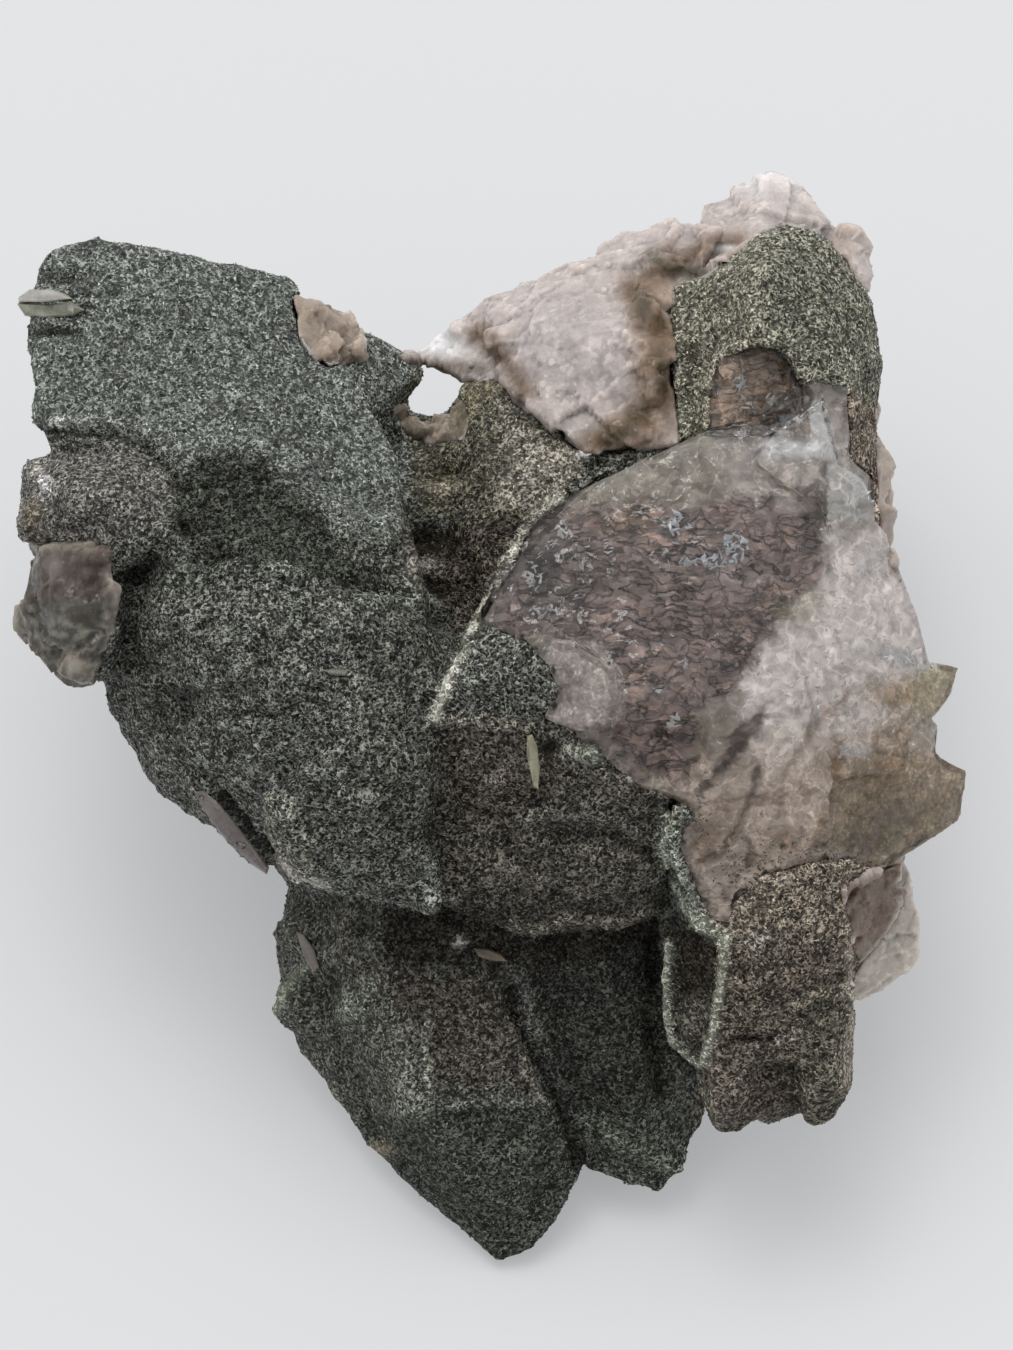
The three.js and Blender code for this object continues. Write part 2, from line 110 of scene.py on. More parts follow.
# Where bare quartz shows, and how deep each goes
MILKY_LEDGE = [
    (-5.8, 23.4), (-2.7, 25.9), (-1.8, 26.8), (-0.5, 28), (3.3, 28.5), (4.8, 29.8), (7, 31.2),
    (8.3, 32.4), (13, 34.4), (16.8, 35.4), (17.8, 37), (20.5, 37), (24.9, 33), (26, 27.5),
    (24, 27.6), (23, 29.3), (21.7, 30.8), (20.1, 31.4), (18.4, 31.8), (15.8, 30), (14.1, 28.3),
    (11.6, 27.7), (11.6, 22.5), (12, 17.6), (8.2, 16.9), (5.9, 17), (2.6, 19.8), (0.5, 21.6),
    (-1.3, 21.9), (-3.7, 22.5), (-4.9, 22.9),
]
RIGHT_FLAKE = [(24.5, 20.1), (27.5, 20.1), (27.5, 9.6), (25.4, 9.8), (24.9, 14), (24.7, 17.2)]
NECK = [(-12.9, 27.5), (-10.3, 26.8), (-8.2, 25.2), (-8.4, 22.9), (-10.3, 22.5), (-12.2, 23.9)]
WINDOW_LUMPS = [(-6.5, 20.1), (-3.3, 20.4), (-1.3, 20.6), (-1.6, 17.9), (-5.1, 17.9)]
PALE_CHUNK = [
    (26.3, -9.1), (28.4, -12.6), (28.4, -15.7), (26.3, -18), (23, -18.9), (22.6, -17),
    (25.2, -14), (26.3, -11.9),
]
BROWN_WEDGE = [(22.3, -10.6), (26.3, -9.1), (26.3, -11.9), (25.2, -14), (23.5, -15.6)]
STUB = [
    (-29.6, 11.4), (-24.4, 10.9), (-23.9, 8), (-24.3, 5.4), (-24.9, 3.2), (-26.4, 1.6), (-31.2, 3.6),
    (-31.2, 8),
]
BARE_PLACES = {
    "milky_ledge": (MILKY_LEDGE, 4),
    "milky_flake": (RIGHT_FLAKE, 10),
    "neck_quartz": (NECK, 12),
    "window_quartz": (WINDOW_LUMPS, 14),
    "pale_chunk": (PALE_CHUNK, 10),
    "brown_wedge": (BROWN_WEDGE, 12),
    "stub_quartz": (STUB, 14),
}
BROKEN_FLOOR = 19
ARCH_FLOOR = 23.5
# The height at which the crust is parted in a front and a back, and how far pieces reach into each other
CRUST_SPLIT = 14
OVERLAP = 0.12
# The length of the small steps along a piece's edge, and how far they stray where quartz broke cleanly
EDGE_STEP = 0.5
CLEAN_BREAK = 0.12
# Bounds well outside the cluster
FAR = 60
DEEP = -40
# The mound in the gap left of the broken crystal, and the left crystal's rounded body
MOUND_MIDDLE = (-3.5, 3.2, 27)
MOUND_RADII = (1.5, 2.6, 5.5)
ROUNDED_BODY = [(-25, -12), (-3.6, -12), (-3.6, 13), (-12, 16), (-20, 15), (-24, 8)]

# Sizes of the meshes' faces
FRONT_GRID = 0.37
BACK_GRID = 0.46
BARE_GRID = 0.27
CLEAR_GRID = 0.24
HEART_GRID = 0.25

# Loose flakes, bright planes in the clear crystal and blades on the crust
FRONT_FLAKES = 48000
BACK_FLAKES = 26000
FRONT_SEED, BACK_SEED, FLECK_SEED = 5, 6, 9
FLAKE_FACES = ((0, 1, 3), (1, 2, 3), (2, 0, 3), (0, 2, 1))
FLECK_FACES = ((0, 1, 4), (1, 2, 4), (2, 3, 4), (3, 0, 4), (0, 2, 1), (0, 3, 2))
FLECK_CORNERS = ((1, 0.1), (0.3, 1), (-0.9, 0.5), (-0.5, -0.9))
BLADE_REACH = 3
# The rings of a blade: how far each lies outside its outline, and how far below its top
BLADE_RINGS = ((0.08, -1.2), (0, -0.12), (-0.12, 0))

# The clouded inside is what stays within the cluster when that is moved by each of these
HEART_SHIFTS = ((0, 0, -0.7), (-0.35, 0, -0.2), (0.35, 0, -0.2), (0, -0.35, -0.2), (0, 0.35, -0.2))

# Where the light comes from, in the frame of the show face
LAMP_WAY = (-0.15, 0.75, 0.65)
# Each lamp: energy, width in degrees, and whether gloss mirrors it
LAMPS = {"soft_lamp": (1.2, 46, False), "glint_lamp": (0.36, 18, True)}
# How bright the room is, from in front of the cluster to behind it
ROOM_LEVELS = {"From Min": -0.75, "From Max": -0.05, "To Min": 0.26, "To Max": 0.80}
ROOM_TINT = (0.97, 0.98, 1.0, 1)
# The floor, in metres
FLOOR_RADIUS = 30
FLOOR_SIDES = 96

# Colours, as shares of light sent back, and how strongly the minerals bend light
GREY_GREEN = (0.162, 0.173, 0.154)
ROSY_GREY = (0.135, 0.130, 0.117)
LEAF_GREEN = (0.100, 0.103, 0.090)
SHADOW_GREEN = (0.045, 0.047, 0.039)
OLIVE = (0.105, 0.1, 0.075)
LOBE_GREY = (0.25, 0.23, 0.19)
UMBER = (0.055, 0.048, 0.037)
BROWN = (0.115, 0.1, 0.08)
RUST = (0.185, 0.118, 0.068)
DARK_OLIVE = (0.085, 0.065, 0.035)
PALE_GREEN = (0.26, 0.28, 0.225)
PALE = (0.56, 0.52, 0.47)
WHITE = (0.85, 0.84, 0.83)
MILKY = (0.56, 0.49, 0.455)
LILAC_GREY = (0.45, 0.40, 0.385)
GREYISH = (0.40, 0.37, 0.32)
STUB_DUST = (0.24, 0.235, 0.195)
SMOKY_BROWN = (0.39, 0.33, 0.268)
SMOKE = (0.70, 0.60, 0.52, 1)
CRUST_IOR = 1.5
QUARTZ_IOR = 1.54

# Parts of the crust
UPPER_FACE = [
    (-31, 32), (-12, 30), (-4, 24), (-5.6, 12), (-9, 12.5), (-15, 17.2), (-20, 16.5), (-22, 17.5),
    (-28.5, 18.3), (-32, 19),
]
ROSY_LOBE = [(-32, 18.3), (-24, 18), (-20, 15.6), (-20.6, 12.6), (-24, 10.8), (-32, 11)]
MOSSY_MIDDLE = [(-5.4, 22), (0, 22.5), (6, 17.5), (5, 14.5), (2.6, 12.4), (-5, 12.4)]
GREY_LOBE = [(0.3, 20.6), (5.6, 17), (5, 14.3), (1, 13.4)]
RIGHT_PEAK = [(11.4, 33), (26, 33), (26, 16), (11.4, 16)]
RIGHT_PEAK_SIDE = [(11.4, 33), (17.2, 32), (16.6, 24), (14, 16), (11.4, 16)]
FLANK = [(-3.4, 0), (4, 0), (9, -3), (12.4, -5.4), (10.9, -7), (10.8, -14), (0, -14), (-3.4, -10)]

# Broad differences of colour over the crust, each over the ones before it. The darkest zones, in the left
# crystal's trough, under the flank and in the valley by the lower right crystal, are painted shade.
CRUST_ZONES = [
    (UPPER_FACE, GREY_GREEN),
    (ROSY_LOBE, ROSY_GREY),
    # Painted shade in the left crystal's trough
    ([(-20, 16), (-17, 17.3), (-14, 16), (-9, 12), (-5.5, 9), (-6, 8), (-12, 8.6), (-16, 10),
      (-20.6, 11.6)], (0.036, 0.038, 0.031)),
    ([(-24, 10.5), (-19, 11), (-16, 9), (-20, 8), (-23.6, 3), (-24.2, 8)], (0.07, 0.073, 0.062)),
    (MOSSY_MIDDLE, OLIVE),
    ([(-4.8, 12.6), (2.6, 12.6), (1.3, 10.2), (-0.1, 7.6), (-2, 4.8), (-4.4, 8), (-5.2, 10)], UMBER),
    (GREY_LOBE, LOBE_GREY),
    ([(-9, 7), (-3.4, 8), (-3.4, -9), (-7, -8)], (0.075, 0.077, 0.066)),
    (RIGHT_PEAK, (0.172, 0.168, 0.132)),
    (RIGHT_PEAK_SIDE, (0.235, 0.225, 0.175)),
    (FLANK, (0.078, 0.072, 0.06)),
    ([(-15, -10), (-7.4, -11.5), (-7, -16), (-4, -19), (-4, -25), (-9, -27), (-16, -20)],
     (0.1, 0.1, 0.086)),
    # Painted shadow under the left crystal and the flank
    ([(-7, -11), (11, -12), (11, -16), (-7, -16)], (0.045, 0.041, 0.034)),
    ([(-7.4, -15.6), (-3, -16.4), (1.2, -17), (3.4, -24.4), (0.4, -23.4), (-3.4, -23.8), (-5.8, -20)],
     (0.09, 0.081, 0.069)),
    ([(-9, -26), (-4.2, -24.8), (4, -24.6), (6.4, -28.6), (1, -37), (-10, -30)], (0.07, 0.075, 0.062)),
    ([(2.2, -17), (10.6, -14), (11, -25), (5, -26)], (0.048, 0.05, 0.042)),
    ([(5.4, -25.4), (14.5, -24), (11, -32), (6, -29)], (0.08, 0.085, 0.07)),
    # Painted shade in the valley beside the lower right crystal
    ([(10.6, -12), (14.8, -13), (14, -22.4), (10.8, -21)], (0.032, 0.029, 0.023)),
    ([(14.2, -9), (27, -9), (25, -27), (13, -27), (13.6, -21)], BROWN),
    ([(14.4, -8.6), (27, -8), (26, -13.4), (21, -14.6), (17.6, -13.8), (15, -15.2)], (0.2, 0.17, 0.135)),
    ([(22.2, 20.4), (24.2, 20.4), (24.9, 19.1), (25.4, 11.5), (23.6, 12), (22.2, 16)], (0.21, 0.17, 0.135)),
]

# How starkly the crust's bright threads stand out, where it isn't as stark as elsewhere
HARSH = 0.9
SOFTER_ZONES = [
    (UPPER_FACE, 0.15),
    (ROSY_LOBE, 0.4),
    (MOSSY_MIDDLE, 0.45),
    (GREY_LOBE, 0.2),
    (RIGHT_PEAK, 0.4),
    (RIGHT_PEAK_SIDE, 0.1),
    (FLANK, 0.75),
    ([(-15, -11.5), (11, -12), (11, -37), (-15, -37)], 0.45),
    ([(10.6, -9), (27, -9), (25, -27), (10.6, -27)], 0.35),
]

# Forms, stains and painted shade: a line or an outline of points or one spot, its reach, how high it stands
# in millimetres, a colour with its share, and how far it is free of flakes. Dark colours on sunken marks
# are painted shade.
Mark = namedtuple("Mark", "kind where reach height colour share bare", defaults=(0, None, 0.8, 0))
Spot, Line, Area = (partial(Mark, kind) for kind in ("spot", "line", "area"))
CRUST_MARKS = [
    # The left crystal's broad trough and the lumps below it
    Line([(-20.5, 13.6), (-17, 14.2), (-13, 12.6), (-9.5, 10.4), (-6, 8.9)], 2.2, -1.3),
    Spot((-17.8, 10.5), (1.6, 0.8), -0.7, SHADOW_GREEN),
    Spot((-13.4, 9.6), (1.6, 0.7), 0.5, PALE_GREEN, 0.3),
    Line([(-8, 7.9), (-5.2, 8.1), (-3.5, 7.4)], 0.35, 0.45, PALE_GREEN, 0.35),
    Line([(-5.2, 9.4), (-3.6, 7.8)], 0.3, 0.35, PALE_GREEN, 0.3),
    Spot((-20, 6.8), (2, 1.5), 0.7),
    Spot((-17.2, 4.6), (1.8, 1.4), 0.55),
    Spot((-14.6, 6.3), (1.8, 1.2), 0.6),
    Spot((-10.2, 5.8), (2.2, 1.3), 0.5),
    Spot((-6.4, 4.2), (1.8, 1.6), 0.4),
    Spot((-22.3, 3.4), (1.2, 1.4), -0.5, SHADOW_GREEN, 0.5),
    Spot((-20.2, 0.4), (2, 2.2), -0.9, SHADOW_GREEN, 0.6),
    Spot((-16, -1.6), (1.8, 1.2), -0.4, SHADOW_GREEN, 0.35),
    Spot((-13, 2), (2.4, 1.8), 0.5),
    Line([(-16.6, 0.2), (-15, 0.6), (-13.8, 0.2)], 0.25, -0.3, SHADOW_GREEN),
    # The seam below the upper left face, and the rosy lobe under it
    Line([(-28.6, 18.3), (-26, 18.2), (-23.4, 18.2), (-21.6, 17.2), (-19.4, 15.4)], 0.42, -0.75,
         SHADOW_GREEN, 0.75),
    Line([(-26.4, 18.9), (-24.4, 18.9), (-22, 18.4)], 0.3, 0.25, PALE, 0.12),
    Spot((-25, 14.2), (4.5, 2.4), 0.5),
    Spot((-28.9, 15.8), (0.6, 0.5), 0.2, PALE, 0.6, 0.4),
    Spot((-28.3, 14.8), (0.5, 0.7), 0.1, WHITE, 0.5, 0.3),
    Spot((-27.6, 19.1), (0.45, 0.35), 0.1, WHITE, 0.45, 0.4),
    Spot((-29, 13), (0.9, 1.3), 0.3, (0.15, 0.125, 0.085), 0.8, 0.3),
    # Slivers and small ledges at the upper left corner
    Line([(-29.8, 24.8), (-26.2, 24.8)], 0.35, -0.5, SHADOW_GREEN, 0.7),
    Line([(-28.2, 28.4), (-26.9, 28.2)], 0.25, -0.35, SHADOW_GREEN, 0.6),
    Line([(-27, 27.2), (-23.6, 27.3)], 0.25, -0.35, SHADOW_GREEN, 0.5),
    Line([(-28, 29.2), (-24.6, 29)], 0.3, 0.25),
    # The thin plates and the slab at the bottom of the left crystal
    Line([(-17.2, -4.9), (-15.2, -7.2), (-14, -8.4)], 0.35, -0.7, SHADOW_GREEN, 0.9, 0.5),
    Area([(-14.3, -4.8), (-9.5, -4.3), (-4, -4.8), (-3.4, -12.4), (-10.4, -10.6), (-11.5, -10.2),
          (-13.4, -8)], 0.3, 0.4),
    Area([(-14.2, -5.3), (-13.6, -4.7), (-12.6, -4.9), (-11.8, -6.4), (-11.2, -8.4), (-10.9, -9.6),
          (-12.4, -9.9), (-13.4, -8.8), (-14.1, -7)], 0.25, 0.35, (0.15, 0.15, 0.12), 0.7),
    Line([(-14.2, -5.5), (-14, -7), (-13.2, -8.8), (-11.8, -9.9)], 0.28, 0.15, (0.26, 0.255, 0.21), 0.8,
         0.6),
    Line([(-13.4, -8.8), (-11.6, -9.9), (-10.6, -10.1)], 0.4, 0.1, PALE, 0.7, 0.8),
    Line([(-11.4, -10.6), (-8, -11.2), (-4.4, -11.9)], 0.45, 0.1, GREY_GREEN, 0.7),
    Line([(-3.8, -8.8), (-4, -11.6)], 0.4, 0.15, GREY_GREEN, 0.6),
    # The middle: a pit, a pale knob, a recess and mossy lumps, with painted shade in the pit, the recess
    # and the hollows
    Spot((-3.8, 11.5), (1.5, 1.2), -1.1, (0.035, 0.03, 0.02), 0.9, 0.5),
    Spot((-4.2, 9.9), (0.9, 0.6), 0.7, (0.26, 0.24, 0.21), 0.9, 0.6),
    Line([(-4.3, 8.9), (-3.4, 7.9)], 0.35, -0.6, (0.02, 0.02, 0.015), 0.9, 0.8),
    Spot((-1.4, 8.2), (1.8, 2.6), -0.5),
    Spot((-3.1, 14.8), (1.6, 0.6), 0.4, (0.26, 0.23, 0.17), 0.6, 0.3),
    Spot((-3.2, 16), (1.4, 1), -0.4, (0.06, 0.055, 0.03), 0.6),
    Spot((0.6, 13.4), (1.6, 1.6), 0.4),
    Line([(0.4, 21.6), (-1.2, 20.4), (-2.4, 18.4)], 0.8, 0.3, (0.16, 0.14, 0.09), 0.6, 0.3),
    Line([(5.7, 16.6), (5.4, 15.4), (4.2, 14.3)], 0.35, 0.25, LOBE_GREY, 0.5),
    Spot((6.6, 16.4), (0.9, 0.5), -0.5, (0.04, 0.045, 0.02), 0.8),
    Spot((6, 16.9), (0.5, 0.3), 0.2, WHITE, 0.7, 0.8),
    # The thin light rim along the broken face's upper left, a painted highlight where the crust meets the
    # glass
    Line([(-3.6, 0), (-2.4, 3), (-1.4, 5.2), (0, 7.9), (1.4, 10.6), (3, 12.9), (4.5, 14.2)], 0.4, 0.45,
         (0.42, 0.41, 0.35), 0.9, 0.7),
    # The flank under the broken face, with painted shade in its sunken marks
    Line([(-3.6, 0), (-1, -0.2), (2.4, -0.5)], 0.5, 0.3, LOBE_GREY, 0.4),
    Area([(-3.6, -0.6), (2.2, -1), (4.4, -3.4), (3, -6), (-3.4, -6)], 0.8, -0.25, (0.085, 0.075, 0.06),
         0.7),
    Spot((3.7, -2), (0.6, 0.9), -0.7, (0.03, 0.025, 0.02), 0.9, 0.6),
    Spot((0.2, -3.8), (0.6, 0.5), 0.3, (0.3, 0.27, 0.24), 0.6),
    Spot((6.6, -2), (2.2, 0.8), 0.3, PALE_GREEN, 0.6, 0.3),
    Line([(8.9, -3.5), (10.9, -4.5), (12.6, -4.9), (13.6, -5.8)], 0.4, 0.45, (0.42, 0.4, 0.33), 0.85, 0.7),
    Line([(2.4, -6.2), (6, -6), (9.6, -6.9)], 0.4, 0.3, GREY_GREEN, 0.3),
    Line([(3.6, -7.4), (7, -7.4), (10, -8.4)], 0.5, -0.35, (0.03, 0.028, 0.022), 0.6),
    Line([(-2, -5.6), (0.4, -6.4), (1.2, -8.6)], 0.5, -0.3, (0.035, 0.032, 0.026), 0.5),
    Spot((6.6, -10), (3.4, 2), 0.5, (0.12, 0.11, 0.095), 0.5),
    Line([(1.4, -13), (2.8, -13.5), (5, -12.5), (8.2, -12.9), (10, -12.1)], 0.45, 0.25, LOBE_GREY, 0.55),
    # The green edge of the plate at the broken face's lower left
    Line([(11.3, -5.9), (11, -7.8), (11.9, -10.2), (13.2, -12.7), (14.4, -13.8)], 0.6, 0.55,
         (0.33, 0.35, 0.28), 0.85, 0.3),
    # The lower crystals, with painted shade in the grooves between them
    Spot((-2, -14.2), (0.45, 0.4), 0.3, (0.6, 0.58, 0.52), 0.95, 1),
    Line([(-7.1, -11.8), (-6.9, -15.4), (-6.2, -18.6)], 0.4, 0.25),
    Line([(-13.7, -18.6), (-12.6, -16.6), (-11.9, -15.9)], 0.4, 0.3, (0.24, 0.26, 0.2), 0.8, 0.5),
    Spot((-8.6, -18.4), (1.4, 1.2), 0.5, (0.22, 0.235, 0.195), 0.7),
    Spot((-7.6, -17), (0.8, 0.8), 0.3, (0.2, 0.22, 0.18), 0.7),
    Spot((-10.6, -17.2), (1.2, 1.6), -0.5, SHADOW_GREEN, 0.6),
    Spot((-11, -20.4), (1, 0.8), 0.4),
    Line([(-9.6, -12.6), (-9.2, -15), (-8, -16.4)], 0.5, 0.35, (0.11, 0.1, 0.08), 0.5),
    Spot((-8.2, -13.4), (0.7, 1), -0.5, SHADOW_GREEN, 0.6),
    Line([(-6.4, -19.4), (-5.2, -22), (-5, -24.4)], 1.2, 0.35, (0.15, 0.155, 0.13), 0.6),
    Line([(-4.2, -19), (-3.9, -24.4)], 0.3, 0.4, PALE_GREEN, 0.4),
    Line([(-5.6, -24.9), (0, -24.4), (3.8, -24.6)], 0.4, 0.35, GREY_GREEN, 0.45),
    Spot((-0.6, -21.6), (2.6, 2.4), 0.3, (0.12, 0.105, 0.09), 0.4),
    Line([(1.2, -17.2), (1.6, -19.4), (2.8, -21.8), (4.1, -23.8), (5, -26), (5.9, -28.6)], 0.55, -0.8,
         (0.02, 0.02, 0.016), 0.8),
    Line([(1, -19.2), (2.4, -22.2), (3.2, -24.4)], 0.3, 0.3, LOBE_GREY, 0.4),
    Line([(10.4, -14.4), (10.2, -19), (10.9, -24)], 0.5, -0.4, (0.025, 0.023, 0.018), 0.7),
    Line([(-9.3, -21.4), (-8.4, -24.4), (-7.4, -26.6)], 0.4, -0.3, SHADOW_GREEN, 0.4),
    Spot((-7, -27.6), (0.9, 0.7), 0.1, (0.3, 0.25, 0.18), 0.7, 0.6),
    Line([(6.4, -25.8), (9.2, -27.6), (12, -28.8)], 0.6, 0.3, PALE_GREEN, 0.3),
    Line([(11.3, -14.2), (11.3, -17.8), (11.6, -20.4), (13.3, -21.9)], 0.28, 0.35, (0.36, 0.37, 0.3), 0.85,
         0.4),
    Line([(15.1, -13.6), (14.6, -16.4), (14.3, -19.4), (13.6, -21.9)], 0.3, 0.35, (0.36, 0.37, 0.3), 0.8,
         0.4),
    Area([(12, -13.4), (14.4, -13.6), (13.8, -17.6), (11.8, -17.6)], 0.4, -0.3, (0.03, 0.025, 0.018), 0.8),
    Spot((12.8, -19.2), (1, 1.5), 0.2, (0.14, 0.13, 0.105), 0.7),
    Line([(14.9, -20.6), (16.4, -20.3), (18.6, -20.2)], 0.28, -0.35, (0.05, 0.04, 0.03), 0.8),
    Line([(15.6, -15.4), (16.2, -16.4)], 0.25, -0.35, (0.04, 0.035, 0.025), 0.8),
    Line([(18.2, -20.4), (19.6, -20.1)], 0.2, 0.3, (0.45, 0.4, 0.34), 0.7),
    Line([(19.4, -18.2), (20.6, -17.4), (22.4, -17.6)], 0.4, 0.35, (0.26, 0.23, 0.18), 0.5),
    Spot((18.4, -16), (3, 2), 0.4, (0.15, 0.125, 0.1), 0.4),
    Area([(19.4, -17.8), (23, -17), (22.8, -26), (19.8, -26)], 0.5, 0.1, (0.11, 0.105, 0.08), 0.6),
    Line([(17.2, -24.2), (18.4, -23.8), (19.6, -24.4)], 0.6, -0.4, (0.09, 0.07, 0.055), 0.6),
    Line([(22.7, -14.6), (22.8, -18.6), (22.5, -23.4)], 0.4, 0.15, (0.32, 0.28, 0.23), 0.6, 0.4),
    Spot((17, -14), (0.9, 0.6), 0.2, (0.4, 0.37, 0.34), 0.7),
    # The upper right crystal's front edge
    Line([(16.9, 30.6), (16.6, 27.4), (17.4, 24.2)], 0.9, 0.35),
    Line([(13.9, 18.6), (13.9, 21.8), (14.9, 23.4), (16.9, 24.3)], 0.3, 0.3, (0.36, 0.34, 0.26), 0.5),
]

# Bare blades of quartz on the crust: outline, how far they stand out, colour
BLADES = [
    ([(-18.9, -4.5), (-18.3, -4.5), (-17.4, -5.2), (-16.3, -6.5), (-15.1, -8.1), (-14.2, -9.4),
      (-14.3, -9.8), (-15.3, -9.1), (-16.6, -7.9), (-17.6, -6.7), (-18.4, -5.5)], 0.25,
     (0.2, 0.175, 0.165)),
    ([(2.3, -1), (2.6, -0.9), (2.9, -1.6), (3.1, -3), (3, -4.4), (2.7, -4.2), (2.5, -3.2), (2.3, -2.2)],
     0.4, (0.34, 0.33, 0.23)),
    ([(-30.2, 27), (-29.5, 27.5), (-28.1, 27.5), (-27.2, 27.2), (-26.8, 26.9), (-28.4, 26.7),
      (-30.2, 26.7)], 0.2, (0.40, 0.39, 0.35)),
    ([(-30.3, 26.6), (-28.4, 26.6), (-26.9, 26.7), (-26, 26.2), (-26.7, 25.8), (-28.6, 25.7),
      (-29.8, 25.9)], 0.1, (0.22, 0.22, 0.17)),
    ([(-10.6, 3.15), (-9.8, 3.3), (-9, 3.1), (-9.2, 2.8), (-10.1, 2.85)], 0.1, (0.17, 0.17, 0.14)),
    ([(-12.5, -13.6), (-12, -13.8), (-11.3, -14.8), (-11, -15.9), (-11.4, -16.2), (-12, -15.2)], 0.2,
     (0.2, 0.17, 0.15)),
    ([(-1.1, -14.6), (-0.2, -14.6), (0.7, -15), (1, -15.4), (0.1, -15.4), (-0.8, -15.1)], 0.2,
     (0.2, 0.17, 0.12)),
]

# Each patch of bare quartz that has its own colour
PATCH_TINTS = [
    (NECK, (0.36, 0.29, 0.23)),
    (WINDOW_LUMPS, (0.24, 0.2, 0.15)),
    (BROWN_WEDGE, (0.2, 0.14, 0.1)),
    (STUB, (0.065, 0.05, 0.037)),
    (RIGHT_FLAKE, (0.42, 0.36, 0.31)),
    (PALE_CHUNK, (0.66, 0.6, 0.53)),
]
# Stains on the bare quartz, with painted light and painted shade among them
MILKY_STAINS_AND_PAINTED_LIGHT = [
    Spot((-3, 24.2), (1.8, 1.1), 0, (0.9, 0.9, 0.9), 1),
    Spot((-0.7, 24.6), (1.1, 1), 0, RUST, 0.9),
    Line([(0.2, 23.8), (1.6, 22.2), (2.3, 21)], 0.75, 0, RUST, 0.95),
    Area([(8.2, 28.4), (11.8, 28.6), (11.8, 18.2), (8.6, 16.8), (6.2, 17.2), (9.2, 20.4), (8.9, 24)], 0.7,
         0, (0.34, 0.24, 0.17), 0.7),
    Line([(9, 27.4), (9.8, 26.2), (10.6, 25)], 0.95, 0, RUST, 1),
    Line([(11.2, 24.6), (10.4, 22.6), (11.2, 21.2), (11.4, 20.6)], 1, 0, RUST, 1),
    Spot((9.6, 19.6), (0.9, 1.3), 0, RUST, 1),
    Line([(6.4, 17.7), (8.2, 18.6), (9.4, 19)], 1, 0, RUST, 1),
    Line([(10, 28.2), (11.8, 29.6), (14, 30.2), (15.6, 30.6)], 1.05, 0, RUST, 0.95),
    Line([(10.6, 29.4), (11.8, 28.8), (13.2, 28.8)], 0.7, 0, DARK_OLIVE, 1),
    Spot((9.6, 26.4), (0.8, 1.3), 0, DARK_OLIVE, 0.95),
    Spot((10.9, 22), (0.8, 1.5), 0, DARK_OLIVE, 0.95),
    Line([(7.4, 17.9), (8.8, 18.6), (9.6, 19.8)], 0.7, 0, DARK_OLIVE, 0.85),
    Line([(-5.2, 23), (-2.4, 22.6), (-0.4, 22.3)], 0.45, 0, DARK_OLIVE, 0.8),
    Spot((14.9, 30.2), (0.9, 0.3), 0, WHITE, 0.9),
    Spot((22.4, 30.4), (0.9, 1.4), 0, (0.5, 0.4, 0.32), 0.6),
    Spot((4.6, 24.4), (3.6, 3), 0, (0.47, 0.425, 0.42), 0.7),
    # Painted light: the peak and the top edge lightened where light shines through the thin quartz
    Spot((17.6, 34.6), (3, 1.6), 0, (0.72, 0.69, 0.68), 0.8),
    Line([(0, 28.6), (4.6, 30.6), (8.6, 33), (13.4, 35)], 0.9, 0, (0.7, 0.66, 0.64), 0.7),
    Spot((25.6, 17.4), (0.8, 1.2), 0, (0.5, 0.42, 0.35), 0.5),
    Spot((-26.3, 3.7), (1.3, 1.2), 0.3, (0.32, 0.27, 0.21), 0.7),
    Line([(-30.4, 4.8), (-30.2, 7.4)], 0.5, 0, (0.3, 0.27, 0.2), 0.8),
    Line([(-29.4, 11), (-26, 10.9), (-24.5, 10.4), (-24.1, 8.4)], 0.35, 0.15, (0.34, 0.3, 0.25), 0.8),
    Area([(-28.4, 10.6), (-24.6, 10.4), (-24.3, 7.6), (-28.2, 7.6)], 0.4, 0.1, (0.068, 0.042, 0.031), 0.85),
    Spot((-27.6, 9.6), (0.5, 0.9), 0.1, (0.22, 0.18, 0.16), 0.6),
    Area([(-28.2, 7.4), (-24.2, 7.4), (-24.6, 4.8), (-28, 4.6)], 0.4, 0.2, (0.085, 0.078, 0.06), 0.8),
    # Painted shade in the grooves beside the stub
    Line([(-29, 7.4), (-28.6, 4.8), (-27.6, 4.4)], 0.4, -0.3, (0.05, 0.045, 0.03), 0.7),
    Line([(-24.9, 5.2), (-25, 3.4)], 0.5, -0.3, (0.05, 0.045, 0.03), 0.6),
]

